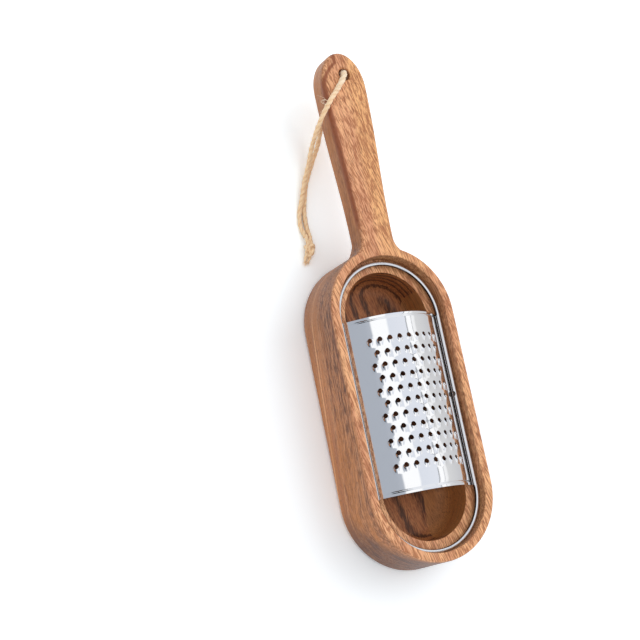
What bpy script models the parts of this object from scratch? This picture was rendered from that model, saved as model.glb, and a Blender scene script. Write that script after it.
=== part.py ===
"""Cheese grater: a perforated steel blade on a wire ring, seated in a wooden tray with a handle.

Run with: blender --background --python part.py
Units are metres and +Z is up. The origin is the middle of the tray's flat base, the base lies
on Z = 0, and +Y runs from the trough towards the tip of the handle.
"""

import math

import bmesh
import bpy
from mathutils import Vector

# Tray: one glued-up block of wood with round ends, a stepped trough and a handle
TRAY_END_RADIUS = 0.048
TRAY_HALF_STRAIGHT = 0.0603
TRAY_DEPTH = 0.044
TRAY_BASE_FILLET = 0.004
RIM_WIDTH = 0.0064
RIM_FILLET = 0.001
LEDGE_DROP = 0.0102
LEDGE_WIDTH = 0.0092
FLOOR_THICKNESS = 0.008
POCKET_FLOOR_FILLET = 0.010

# Handle: flush with the rim, thinner than the tray, wider towards its round tip
HANDLE_LENGTH = 0.1433
HANDLE_THICKNESS = 0.018
HANDLE_NECK_HALF_WIDTH = 0.013
HANDLE_GRIP_HALF_WIDTH = 0.0174
HANDLE_TIP_LENGTH = 0.0256
HANDLE_FLARE_RADIUS = 0.012
HANDLE_EDGE_FILLET = 0.0045
HANDLE_TOP_FILLET = 0.003
HANDLE_COVE_RADIUS = 0.012

# Hanging hole near the tip
HOLE_RADIUS = 0.0045
HOLE_TO_TIP = 0.0166
HOLE_CHAMFER = 0.0008

# Wire ring that the blade is curled round
WIRE_RADIUS = 0.0015
HEM_TO_WALL = 0.0011
# It lies slack in its recess, and in the photo nearer the front end
INSERT_SHIFT_ALONG = -0.0012

# Blade: an arch of thin sheet with staggered raised teeth
SHEET_THICKNESS = 0.0005
BLADE_CROWN_ABOVE_RIM = 0.0115
BLADE_LENGTH = 0.1196
LEAST_PLAIN_END = 0.012
LEAST_PLAIN_SIDE = 0.010
TOOTH_PITCH = 0.0068
TOOTH_ROW_PITCH = 0.0085
TOOTH_HOLE_RADIUS = 0.0015
TOOTH_HOLE_FORWARD = 0.0012
TOOTH_LIP_HEIGHT = 0.0008
TOOTH_LIP_OVERHANG = 0.0002
TOOTH_HALF_WIDTH = 0.0021
TOOTH_FRONT_REACH = 0.0034
TOOTH_TAIL_REACH = 0.0039
BEAD_FROM_END = 0.0023
BEAD_HALF_WIDTH = 0.0008
BEAD_HEIGHT = 0.0005
HEM_BEND_RADIUS = 0.001
HEM_FLAT_WIDTH = 0.0021
HEM_SWEEP = math.radians(230)

# Hanging cord of twisted jute, and its knot
CORD_RADIUS = 0.0015
KNOT_HALF_LENGTH = 0.0068
KNOT_HALF_WIDTH = 0.0052
KNOT_HALF_HEIGHT = 0.0046
KNOT_CENTRE = (-0.0322, 0.1232)
KNOT_TURN = math.radians(-12)
KNOT_TAIL_LENGTH = 0.008
KNOT_TAIL_RADIUS = 0.0017

# Clearance between pieces that touch, and how far a cutter runs past what it cuts
TOUCH_GAP = 0.0003
OVERRUN = 0.004

# How finely round shapes are divided
END_ARC_STEPS = 14
HANDLE_FLARE_STEPS = 4
HANDLE_SIDE_STEPS = 7
HANDLE_TIP_STEPS = 8
FILLET_STEPS = 3
HEM_BEND_STEPS = 2
HEM_STEPS = 8
RING_ARC_STEPS = 20

# Heights and radii that follow from the sizes above
RIM_Z = TRAY_DEPTH
LEDGE_Z = RIM_Z - LEDGE_DROP
HANDLE_UNDERSIDE_Z = RIM_Z - HANDLE_THICKNESS
RECESS_RADIUS = TRAY_END_RADIUS - RIM_WIDTH
POCKET_RADIUS = RECESS_RADIUS - LEDGE_WIDTH
TRAY_END_Y = TRAY_HALF_STRAIGHT + TRAY_END_RADIUS
HANDLE_TIP_Y = TRAY_END_Y + HANDLE_LENGTH
HOLE_Y = HANDLE_TIP_Y - HOLE_TO_TIP

# The hem is a roll of sheet round the wire. It rests on the ledge, clear of the wall round it
HEM_RADIUS = WIRE_RADIUS + TOUCH_GAP + SHEET_THICKNESS / 2
WIRE_RING_END_RADIUS = RECESS_RADIUS - HEM_TO_WALL - HEM_RADIUS - SHEET_THICKNESS / 2
WIRE_Z = LEDGE_Z + TOUCH_GAP + SHEET_THICKNESS / 2 + HEM_RADIUS

# The blade's arc runs into a small outward bend at each foot, so its radius follows from the crown
CROWN_Z = RIM_Z + BLADE_CROWN_ABOVE_RIM - SHEET_THICKNESS / 2
BEND_X = WIRE_RING_END_RADIUS - HEM_FLAT_WIDTH
BEND_Z = WIRE_Z - HEM_RADIUS + HEM_BEND_RADIUS
CROWN_RISE = CROWN_Z - BEND_Z
BLADE_RADIUS = (BEND_X**2 + CROWN_RISE**2 - HEM_BEND_RADIUS**2) / (
    2 * (HEM_BEND_RADIUS + CROWN_RISE)
)
BLADE_CENTRE_Z = CROWN_Z - BLADE_RADIUS
BLADE_HALF_ANGLE = math.atan2(BEND_X, BEND_Z - BLADE_CENTRE_Z)

# As many teeth as fit between the plain margins
TOOTH_ROWS = int((BLADE_LENGTH - 2 * LEAST_PLAIN_END) / TOOTH_ROW_PITCH)
BLADE_HALF_WIDTH = BLADE_RADIUS * BLADE_HALF_ANGLE
TEETH_IN_WIDE_ROW = int(2 * (BLADE_HALF_WIDTH - LEAST_PLAIN_SIDE) / TOOTH_PITCH)

# The cord's route, chosen by hand: from the knot over the handle, down the hole and back under it
CORD_ROUTE = (
    (-0.0324, 0.1306, 0.0034),
    (-0.0331, 0.1342, 0.0022),
    (-0.0338, 0.1390, 0.0017),
    (-0.0333, 0.1447, 0.0017),
    (-0.0320, 0.1502, 0.0019),
    (-0.0300, 0.1565, 0.0036),
    (-0.0277, 0.1640, 0.0050),
    (-0.0249, 0.1722, 0.0059),
    (-0.0228, 0.1772, 0.0070),
    (-0.0221, 0.1826, 0.0110),
    (-0.0224, 0.1892, 0.0180),
    (-0.0228, 0.1946, 0.0260),
    (-0.0229, 0.2002, 0.0350),
    (-0.0206, 0.2072, 0.0425),
    (-0.0160, 0.2145, 0.0466),
    (-0.0098, 0.2213, 0.0462),
    (-0.0046, 0.2276, 0.0463),
    (-0.0013, 0.2322, 0.0466),
    (0.0008, 0.2358, 0.0440),
    (0.0012, 0.2364, 0.0385),
    (0.0010, 0.2361, 0.0310),
    (0.0005, 0.2352, 0.0255),
    (-0.0006, 0.2314, 0.0205),
    (-0.0022, 0.2240, 0.0160),
    (-0.0044, 0.2140, 0.0120),
    (-0.0066, 0.2050, 0.0085),
    (-0.0090, 0.1972, 0.0060),
    (-0.0125, 0.1895, 0.0037),
    (-0.0165, 0.1815, 0.0022),
    (-0.0207, 0.1735, 0.0017),
    (-0.0242, 0.1650, 0.0017),
    (-0.0266, 0.1570, 0.0017),
    (-0.0284, 0.1500, 0.0017),
    (-0.0291, 0.1440, 0.0017),
    (-0.0292, 0.1385, 0.0017),
    (-0.0291, 0.1340, 0.0022),
    (-0.0291, 0.1300, 0.0034),
)
CORD_STEPS_PER_SPAN = 8
CORD_POINT_SPACING = 0.0066


def clear_scene():
    for old in list(bpy.data.objects):
        bpy.data.objects.remove(old, do_unlink=True)


def new_collection(name, helper=False):
    collection = bpy.data.collections.new(name)
    bpy.context.scene.collection.children.link(collection)
    collection.hide_render = helper
    return collection


def new_material(name, colour, roughness, metallic=0.0):
    material = bpy.data.materials.new(name)
    material.use_nodes = True
    shader = material.node_tree.nodes["Principled BSDF"]
    shader.inputs["Base Color"].default_value = (*colour, 1.0)
    shader.inputs["Roughness"].default_value = roughness
    shader.inputs["Metallic"].default_value = metallic
    return material


def mesh_object(name, bm, collection, material=None):
    """Turns a bmesh into an object, with its doubles merged and its faces turned outward."""
    bmesh.ops.remove_doubles(bm, verts=bm.verts, dist=1e-6)
    bmesh.ops.recalc_face_normals(bm, faces=bm.faces)
    mesh = bpy.data.meshes.new(name)
    bm.to_mesh(mesh)
    bm.free()
    obj = bpy.data.objects.new(name, mesh)
    collection.objects.link(obj)
    if material:
        mesh.materials.append(material)
    return obj


def loft(rings):
    """A closed solid through rings of equally many points, with a flat cap at each end."""
    bm = bmesh.new()
    made = [[bm.verts.new(point) for point in ring] for ring in rings]
    for lower, upper in zip(made, made[1:]):
        for i in range(len(lower)):
            j = (i + 1) % len(lower)
            bm.faces.new((lower[i], lower[j], upper[j], upper[i]))
    bm.faces.new(made[0][::-1])
    bm.faces.new(made[-1])
    return bm


def cut(obj, cutter):
    """Cuts a hidden helper out of an object."""
    cutter.display_type = "WIRE"
    cutter.hide_render = True
    boolean = obj.modifiers.new("Cut " + cutter.name, "BOOLEAN")
    boolean.operation = "DIFFERENCE"
    boolean.solver = "EXACT"
    boolean.object = cutter


def quarter(steps):
    """Angles from zero to a quarter turn."""
    return [math.pi / 2 * step / steps for step in range(steps + 1)]


def racetrack(radius, half_straight, z, steps):
    """A closed outline with two straight sides and two round ends."""
    points = []
    for side in (1, -1):
        for step in range(steps + 1):
            turn = math.pi * step / steps
            x = side * radius * math.cos(turn)
            y = side * (half_straight + radius * math.sin(turn))
            points.append((x, y, z))
    return points


def flare_centre():
    """The middle of the fillet between the tray's round end and the handle's neck."""
    x = HANDLE_NECK_HALF_WIDTH + HANDLE_FLARE_RADIUS
    reach = TRAY_END_RADIUS + HANDLE_FLARE_RADIUS
    return x, TRAY_HALF_STRAIGHT + math.sqrt(reach**2 - x**2)


def handle_side():
    """Right side of the handle in plan, from the tray's end to the tip, with outward normals."""
    centre_x, centre_y = flare_centre()
    start = math.atan2(TRAY_HALF_STRAIGHT - centre_y, -centre_x)
    sweep = -math.pi - start
    side = []
    for step in range(HANDLE_FLARE_STEPS + 1):
        turn = start + sweep * step / HANDLE_FLARE_STEPS
        x = centre_x + HANDLE_FLARE_RADIUS * math.cos(turn)
        y = centre_y + HANDLE_FLARE_RADIUS * math.sin(turn)
        side.append((x, y, -math.cos(turn), -math.sin(turn), step / HANDLE_FLARE_STEPS))
    widest_y = HANDLE_TIP_Y - HANDLE_TIP_LENGTH
    spread = HANDLE_GRIP_HALF_WIDTH - HANDLE_NECK_HALF_WIDTH
    for step in range(1, HANDLE_SIDE_STEPS + 1):
        along = step / HANDLE_SIDE_STEPS
        x = HANDLE_NECK_HALF_WIDTH + spread * (1 - math.cos(math.pi * along)) / 2
        slope = spread * math.pi / 2 * math.sin(math.pi * along) / (widest_y - centre_y)
        length = math.hypot(1, slope)
        side.append((x, centre_y + (widest_y - centre_y) * along, 1 / length, -slope / length, 1))
    for turn in quarter(HANDLE_TIP_STEPS)[1:]:
        x = HANDLE_GRIP_HALF_WIDTH * math.cos(turn)
        y = widest_y + HANDLE_TIP_LENGTH * math.sin(turn)
        normal = Vector((HANDLE_TIP_LENGTH * math.cos(turn), HANDLE_GRIP_HALF_WIDTH * math.sin(turn)))
        normal.normalize()
        side.append((x, y, normal.x, normal.y, 1))
    return side


def tray_ring(z, reach=0.0, inset=0.0, handle_inset=0.0):
    """One outline of the tray at height z.

    A reach of 0 gives the trough alone, and 1 gives the trough with the whole handle. The inset
    draws the whole outline in, and handle_inset draws in the handle alone.
    """
    radius = TRAY_END_RADIUS - inset
    half = []
    for turn in quarter(END_ARC_STEPS):
        half.append((radius * math.sin(turn), -TRAY_HALF_STRAIGHT - radius * math.cos(turn)))
    centre_x, centre_y = flare_centre()
    shoulder = math.atan2(centre_y - TRAY_HALF_STRAIGHT, centre_x)
    shoulder_steps = END_ARC_STEPS - HANDLE_FLARE_STEPS
    for step in range(shoulder_steps):
        turn = shoulder * step / shoulder_steps
        half.append((radius * math.cos(turn), TRAY_HALF_STRAIGHT + radius * math.sin(turn)))
    side = handle_side()
    for step, (x, y, normal_x, normal_y, weight) in enumerate(side):
        turn = shoulder + (math.pi / 2 - shoulder) * step / (len(side) - 1)
        end = Vector((radius * math.cos(turn), TRAY_HALF_STRAIGHT + radius * math.sin(turn)))
        drawn = inset + handle_inset * weight
        full = Vector((x - normal_x * drawn, y - normal_y * drawn))
        point = end.lerp(full, reach)
        half.append((point.x, point.y))
    half[0] = (0.0, half[0][1])
    half[-1] = (0.0, half[-1][1])
    left = [(-x, y) for x, y in half[-2:0:-1]]
    return [(x, y, z) for x, y in half + left]


def tray_rings():
    """The wooden blank from its base to its rim, with the handle growing out near the top."""
    rings = []
    for turn in quarter(FILLET_STEPS):
        inset = TRAY_BASE_FILLET * (1 - math.sin(turn))
        rings.append(tray_ring(TRAY_BASE_FILLET * (1 - math.cos(turn)), inset=inset))
    cove_reach = HANDLE_COVE_RADIUS / HANDLE_LENGTH
    for turn in quarter(FILLET_STEPS):
        z = HANDLE_UNDERSIDE_Z - HANDLE_COVE_RADIUS * (1 - math.sin(turn))
        reach = cove_reach * (1 - math.cos(turn))
        rings.append(tray_ring(z, reach, handle_inset=HANDLE_EDGE_FILLET))
    for turn in quarter(FILLET_STEPS):
        z = HANDLE_UNDERSIDE_Z + HANDLE_EDGE_FILLET * (1 - math.cos(turn))
        drawn = HANDLE_EDGE_FILLET * (1 - math.sin(turn))
        rings.append(tray_ring(z, 1.0, handle_inset=drawn))
    for turn in quarter(FILLET_STEPS):
        z = RIM_Z - HANDLE_TOP_FILLET * (1 - math.sin(turn))
        inset = RIM_FILLET * (1 - math.cos(turn))
        more_inset = (HANDLE_TOP_FILLET - RIM_FILLET) * (1 - math.cos(turn))
        rings.append(tray_ring(z, 1.0, inset, more_inset))
    return rings


def trough_cutter(cutters):
    """The stepped trough: a recess down to the ledge, then the pocket with a rounded floor."""
    profile = [
        (RECESS_RADIUS + RIM_FILLET, RIM_Z + OVERRUN),
        (RECESS_RADIUS + RIM_FILLET, RIM_Z),
        (RECESS_RADIUS, RIM_Z - RIM_FILLET),
        (RECESS_RADIUS, LEDGE_Z),
        (POCKET_RADIUS, LEDGE_Z),
    ]
    for turn in quarter(FILLET_STEPS + 1):
        radius = POCKET_RADIUS - POCKET_FLOOR_FILLET * (1 - math.cos(turn))
        z = FLOOR_THICKNESS + POCKET_FLOOR_FILLET * (1 - math.sin(turn))
        profile.append((radius, z))
    rings = [racetrack(r, TRAY_HALF_STRAIGHT, z, END_ARC_STEPS + 2) for r, z in profile]
    return mesh_object("Trough cutter", loft(rings), cutters)


def hole_cutter(cutters):
    """A turned cutter for the hanging hole, flared at both faces of the handle."""
    rows = [
        (HOLE_RADIUS + HOLE_CHAMFER, RIM_Z + OVERRUN),
        (HOLE_RADIUS + HOLE_CHAMFER, RIM_Z),
        (HOLE_RADIUS, RIM_Z - HOLE_CHAMFER),
        (HOLE_RADIUS, HANDLE_UNDERSIDE_Z + HOLE_CHAMFER),
        (HOLE_RADIUS + HOLE_CHAMFER, HANDLE_UNDERSIDE_Z),
        (HOLE_RADIUS + HOLE_CHAMFER, HANDLE_UNDERSIDE_Z - OVERRUN),
    ]
    rows = [(0.0, rows[0][1])] + rows + [(0.0, rows[-1][1])]
    mesh = bpy.data.meshes.new("Hole cutter")
    edges = [(i, i + 1) for i in range(len(rows) - 1)]
    mesh.from_pydata([(r, 0.0, z) for r, z in rows], edges, [])
    obj = bpy.data.objects.new("Hole cutter", mesh)
    cutters.objects.link(obj)
    obj.location = (0.0, HOLE_Y, 0.0)
    screw = obj.modifiers.new("Turn", "SCREW")
    screw.steps = screw.render_steps = 24
    screw.use_merge_vertices = True
    screw.merge_threshold = 1e-5
    return obj


def wooden_body(parts, cutters):
    wood = new_material("Acacia wood", (0.48, 0.26, 0.13), 0.5)
    body = mesh_object("wooden_body", loft(tray_rings()), parts, wood)
    cut(body, trough_cutter(cutters))
    cut(body, hole_cutter(cutters))
    return body


def tube(name, points, radius, collection, material, closed=False):
    """A round tube along points, as a curve with a bevel."""
    curve = bpy.data.curves.new(name, "CURVE")
    curve.dimensions = "3D"
    curve.bevel_depth = radius
    curve.bevel_resolution = 2
    curve.use_fill_caps = not closed
    spline = curve.splines.new("POLY")
    spline.points.add(len(points) - 1)
    for target, point in zip(spline.points, points):
        target.co = (*point, 1.0)
    spline.use_cyclic_u = closed
    curve.materials.append(material)
    obj = bpy.data.objects.new(name, curve)
    collection.objects.link(obj)
    return obj


def wire_frame(parts, steel):
    ring = racetrack(WIRE_RING_END_RADIUS, TRAY_HALF_STRAIGHT, WIRE_Z, RING_ARC_STEPS)
    wire = tube("wire_frame", ring, WIRE_RADIUS, parts, steel, closed=True)
    wire.location.y = INSERT_SHIFT_ALONG
    return wire


class Sheet:
    """The blade's middle surface, laid out flat in (across, along, raise) and bent as it is made."""

    def __init__(self):
        self.bm = bmesh.new()
        self.made = {}

    def vert(self, across, along, rise=0.0):
        """The vertex at this place, bent onto the blade's arc. Each place has one vertex."""
        key = (round(across, 7), round(along, 7), round(rise, 7))
        if key not in self.made:
            angle = across / BLADE_RADIUS
            radius = BLADE_RADIUS + rise
            z = BLADE_CENTRE_Z + radius * math.cos(angle)
            self.made[key] = self.bm.verts.new((radius * math.sin(angle), along, z))
        return self.made[key]

    def face(self, *verts):
        self.bm.faces.new(verts)

    def stitch(self, left, right):
        """Fills between two rows of vertices that run the same way along the blade."""
        i = j = 0
        while i < len(left) - 1 or j < len(right) - 1:
            take_left = j == len(right) - 1
            if i < len(left) - 1 and j < len(right) - 1:
                left_middle = left[i].co.y + left[i + 1].co.y
                take_left = left_middle <= right[j].co.y + right[j + 1].co.y
            if take_left:
                self.face(left[i], right[j], left[i + 1])
                i += 1
            else:
                self.face(left[i], right[j], right[j + 1])
                j += 1


# Eight directions round a tooth, from the +X side by way of the handle's side
AROUND = [(1, 0), (1, 1), (0, 1), (-1, 1), (-1, 0), (-1, -1), (0, -1), (1, -1)]
# How much of its height the lip has in each of those directions
LIP_SHARES = [0.42, 0.0, 0.0, 0.0, 0.42, 0.85, 1.0, 0.85]
# Where the foot of the raised tooth lies: shares of its half width, and of its front or tail reach
FOOT_ACROSS_SHARES = [1.0, 0.74, 0.0, -0.74, -1.0, -0.80, 0.0, 0.80]
FOOT_ALONG_SHARES = [0.24, 0.84, 1.0, 0.84, 0.24, -0.40, -1.0, -0.40]


def add_tooth(sheet, across, along):
    """One cell of the pattern: a round hole with a lip raised behind it, open towards the handle."""
    cell, foot, edge = [], [], []
    for step, (way_x, way_y) in enumerate(AROUND):
        cell.append(sheet.vert(across + way_x * TOOTH_PITCH / 2, along + way_y * TOOTH_ROW_PITCH / 2))
        reach = TOOTH_FRONT_REACH if FOOT_ALONG_SHARES[step] > 0 else TOOTH_TAIL_REACH
        foot_x = across + FOOT_ACROSS_SHARES[step] * TOOTH_HALF_WIDTH
        foot.append(sheet.vert(foot_x, along + FOOT_ALONG_SHARES[step] * reach))
        turn = math.tau * step / len(AROUND)
        edge_x = across + TOOTH_HOLE_RADIUS * math.cos(turn)
        edge_y = along + TOOTH_HOLE_FORWARD + TOOTH_HOLE_RADIUS * math.sin(turn)
        edge_y += TOOTH_LIP_OVERHANG * LIP_SHARES[step]
        edge.append(sheet.vert(edge_x, edge_y, TOOTH_LIP_HEIGHT * LIP_SHARES[step]))
    for outer, inner in ((cell, foot), (foot, edge)):
        for i in range(len(AROUND)):
            j = (i + 1) % len(AROUND)
            sheet.face(outer[i], outer[j], inner[j], inner[i])


def add_teeth(sheet):
    """Staggered rows, where every second row has one tooth fewer and a plain half cell each end."""
    half_field = TEETH_IN_WIDE_ROW * TOOTH_PITCH / 2
    for row in range(TOOTH_ROWS):
        along = (row - (TOOTH_ROWS - 1) / 2) * TOOTH_ROW_PITCH
        count = TEETH_IN_WIDE_ROW - row % 2
        for place in range(count):
            add_tooth(sheet, (place - (count - 1) / 2) * TOOTH_PITCH, along)
        if row % 2 == 0:
            continue
        for low, high in ((-half_field, -half_field + TOOTH_PITCH / 2), (half_field - TOOTH_PITCH / 2, half_field)):
            for start in (along - TOOTH_ROW_PITCH / 2, along):
                stop = start + TOOTH_ROW_PITCH / 2
                corners = ((low, start), (high, start), (high, stop), (low, stop))
                sheet.face(*[sheet.vert(*corner) for corner in corners])


def end_rows():
    """Rows of the plain margin at one end: distance along the blade and rise, out to the end."""
    end = BLADE_LENGTH / 2
    bead = end - BEAD_FROM_END
    return [
        (TOOTH_ROWS * TOOTH_ROW_PITCH / 2, 0.0),
        (bead - BEAD_HALF_WIDTH, 0.0),
        (bead, BEAD_HEIGHT),
        (bead + BEAD_HALF_WIDTH, 0.0),
        (end, 0.0),
    ]


def add_margins(sheet):
    """The plain ends with their stiffening beads, and the plain flanks down to the hems."""
    half_field = TEETH_IN_WIDE_ROW * TOOTH_PITCH / 2
    flank = (half_field + BLADE_HALF_WIDTH) / 2
    columns = [-flank] + [TOOTH_PITCH / 2 * (i - TEETH_IN_WIDE_ROW) for i in range(2 * TEETH_IN_WIDE_ROW + 1)]
    columns.append(flank)
    for way in (1, -1):
        rows = [(way * along, rise) for along, rise in end_rows()]
        for (near, near_rise), (far, far_rise) in zip(rows, rows[1:]):
            for left, right in zip(columns, columns[1:]):
                left_share = 0.0 if left < -half_field - TOUCH_GAP else 1.0
                right_share = 0.0 if right > half_field + TOUCH_GAP else 1.0
                sheet.face(
                    sheet.vert(left, near, near_rise * left_share),
                    sheet.vert(right, near, near_rise * right_share),
                    sheet.vert(right, far, far_rise * right_share),
                    sheet.vert(left, far, far_rise * left_share),
                )
    field_end = end_rows()[0][0]
    half_rows = [field_end - TOOTH_ROW_PITCH / 2 * i for i in range(2 * TOOTH_ROWS + 1)][::-1]
    full_rows = [-along for along, rise in end_rows()[::-1]] + [along for along, rise in end_rows()]
    for way in (1, -1):
        inner = [sheet.vert(way * half_field, along) for along in half_rows]
        outer = [sheet.vert(way * flank, along) for along in (-field_end, field_end)]
        sheet.stitch(inner, outer)
        inner = [sheet.vert(way * flank, along) for along in full_rows]
        sheet.stitch(inner, hem_column(sheet, way, 0))


def hem_profile():
    """The hem in section, on the +X side: out along the ledge, under the wire and back over its top."""
    profile = []
    for step in range(HEM_BEND_STEPS + 1):
        turn = BLADE_HALF_ANGLE * (1 - step / HEM_BEND_STEPS)
        x = BEND_X - HEM_BEND_RADIUS * math.sin(turn)
        profile.append((x, BEND_Z - HEM_BEND_RADIUS * math.cos(turn)))
    for step in range(HEM_STEPS + 1):
        turn = HEM_SWEEP * step / HEM_STEPS
        x = WIRE_RING_END_RADIUS + HEM_RADIUS * math.sin(turn)
        profile.append((x, WIRE_Z - HEM_RADIUS * math.cos(turn)))
    return profile


def hem_column(sheet, way, place):
    """The two end vertices of one line of the hem's profile, on the side that way gives."""
    x, z = hem_profile()[place]
    column = []
    for along in (-BLADE_LENGTH / 2, BLADE_LENGTH / 2):
        key = ("hem", way, place, along)
        if key not in sheet.made:
            sheet.made[key] = sheet.bm.verts.new((way * x, along, z))
        column.append(sheet.made[key])
    return column


def add_hems(sheet):
    """Each long edge turns out along the ledge and rolls round the wire."""
    for way in (1, -1):
        for place in range(len(hem_profile()) - 1):
            near = hem_column(sheet, way, place)
            far = hem_column(sheet, way, place + 1)
            sheet.face(near[0], far[0], far[1], near[1])


def grater_blade(parts, steel):
    sheet = Sheet()
    add_teeth(sheet)
    add_margins(sheet)
    add_hems(sheet)
    blade = mesh_object("grater_blade", sheet.bm, parts, steel)
    solidify = blade.modifiers.new("Sheet", "SOLIDIFY")
    solidify.thickness = SHEET_THICKNESS
    solidify.offset = 0.0
    solidify.use_even_offset = True
    blade.location.y = INSERT_SHIFT_ALONG
    return blade


def smooth_route(route):
    """Points at even spacing along a smooth curve through the route."""
    points = [Vector(point) for point in route]
    padded = [2 * points[0] - points[1]] + points + [2 * points[-1] - points[-2]]
    fine = []
    for before, start, stop, after in zip(padded, padded[1:], padded[2:], padded[3:]):
        for step in range(CORD_STEPS_PER_SPAN):
            t = step / CORD_STEPS_PER_SPAN
            point = 2 * start + (stop - before) * t
            point += (2 * before - 5 * start + 4 * stop - after) * t**2
            point += (3 * start - before - 3 * stop + after) * t**3
            fine.append(point / 2)
    fine.append(points[-1])
    lengths = [0.0]
    for here, there in zip(fine, fine[1:]):
        lengths.append(lengths[-1] + (there - here).length)
    count = round(lengths[-1] / CORD_POINT_SPACING)
    even = []
    at = 0
    for step in range(count + 1):
        target = lengths[-1] * step / count
        while at < len(fine) - 2 and lengths[at + 1] < target:
            at += 1
        share = (target - lengths[at]) / (lengths[at + 1] - lengths[at])
        even.append(fine[at].lerp(fine[at + 1], share))
    print(f"hanging cord: {lengths[-1] * 1000:.1f} mm along its centre")
    return even


def hanging_cord(parts, jute):
    return tube("hanging_cord", smooth_route(CORD_ROUTE), CORD_RADIUS, parts, jute)


def cord_knot(parts, cutters, jute):
    """The knot that closes the loop, as a plain lump with its short tail."""
    bm = bmesh.new()
    bmesh.ops.create_uvsphere(bm, u_segments=16, v_segments=10, radius=1.0)
    bmesh.ops.scale(bm, verts=bm.verts, vec=(KNOT_HALF_WIDTH, KNOT_HALF_LENGTH, KNOT_HALF_HEIGHT))
    knot = mesh_object("cord_knot", bm, parts, jute)
    height = KNOT_HALF_HEIGHT + TOUCH_GAP
    knot.location = (*KNOT_CENTRE, height)
    knot.rotation_euler = (0.0, 0.0, KNOT_TURN)
    tail = bmesh.new()
    bmesh.ops.create_cone(
        tail, cap_ends=True, segments=8, radius1=KNOT_TAIL_RADIUS, radius2=KNOT_TAIL_RADIUS,
        depth=KNOT_HALF_LENGTH + KNOT_TAIL_LENGTH,
    )
    tail_object = mesh_object("Knot tail", tail, cutters)
    tail_object.hide_render = True
    tail_object.display_type = "WIRE"
    lean = math.atan2(height - KNOT_TAIL_RADIUS - TOUCH_GAP, KNOT_HALF_LENGTH + KNOT_TAIL_LENGTH)
    reach = (KNOT_HALF_LENGTH + KNOT_TAIL_LENGTH) / 2
    tail_object.rotation_euler = (math.pi / 2 + lean, 0.0, KNOT_TURN)
    tail_object.location = (
        KNOT_CENTRE[0] + reach * math.cos(lean) * math.sin(KNOT_TURN),
        KNOT_CENTRE[1] - reach * math.cos(lean) * math.cos(KNOT_TURN),
        height - reach * math.sin(lean),
    )
    join = knot.modifiers.new("Tail", "BOOLEAN")
    join.operation = "UNION"
    join.solver = "EXACT"
    join.object = tail_object
    return knot


def main():
    clear_scene()
    parts = new_collection("Cheese grater")
    cutters = new_collection("Cutters", helper=True)
    steel = new_material("Polished stainless steel", (0.72, 0.73, 0.75), 0.12, 1.0)
    wire_steel = new_material("Stainless steel wire", (0.68, 0.69, 0.70), 0.2, 1.0)
    jute = new_material("Twisted jute", (0.55, 0.37, 0.20), 0.9)
    wooden_body(parts, cutters)
    wire_frame(parts, wire_steel)
    grater_blade(parts, steel)
    hanging_cord(parts, jute)
    cord_knot(parts, cutters, jute)


main()
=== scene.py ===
"""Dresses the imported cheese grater: oiled wooden tray, polished insert on its wire ring, jute loop."""

import functools
import math
import random

import bmesh
import bpy
from mathutils import Matrix, Vector


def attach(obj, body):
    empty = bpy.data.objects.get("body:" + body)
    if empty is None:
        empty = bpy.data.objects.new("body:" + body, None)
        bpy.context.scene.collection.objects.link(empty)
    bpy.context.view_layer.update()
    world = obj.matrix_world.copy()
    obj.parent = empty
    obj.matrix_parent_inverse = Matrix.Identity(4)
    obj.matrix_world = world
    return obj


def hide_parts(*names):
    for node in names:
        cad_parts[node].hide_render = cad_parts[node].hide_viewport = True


bl_info = {
    "name": "Cheese grater with a wooden tray",
    "version": (1, 0, 0),
    "blender": (4, 5, 0),
    "location": "3D View > Sidebar > Cheese Grater",
    "description": "Oiled wooden tray, polished grating insert on a wire ring, and a jute hanging loop",
    "category": "Object",
}

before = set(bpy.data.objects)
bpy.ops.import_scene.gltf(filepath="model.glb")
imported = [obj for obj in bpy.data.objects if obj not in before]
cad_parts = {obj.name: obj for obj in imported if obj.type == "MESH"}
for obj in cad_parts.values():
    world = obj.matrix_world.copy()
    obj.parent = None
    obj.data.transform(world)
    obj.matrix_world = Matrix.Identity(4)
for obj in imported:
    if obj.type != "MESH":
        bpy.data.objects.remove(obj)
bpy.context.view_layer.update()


# ---------------------------------------------------------------- sizes and colours


def linear(hex_colour):
    """The linear colour that an sRGB hex value such as #D9A67A stands for."""
    channels = [int(hex_colour[i : i + 2], 16) / 255 for i in (1, 3, 5)]
    return tuple(c / 12.92 if c <= 0.04045 else ((c + 0.055) / 1.055) ** 2.4 for c in channels) + (1.0,)


def length(name, description, metres):
    """A size that a user can change."""
    return bpy.props.FloatProperty(
        name=name, description=description, default=metres, unit="LENGTH", precision=4
    )


def tint(name, description, hex_colour):
    """A colour that a user can change."""
    colour = linear(hex_colour)
    return bpy.props.FloatVectorProperty(
        name=name, description=description, default=colour, subtype="COLOR", size=4, min=0, max=1
    )


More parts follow.
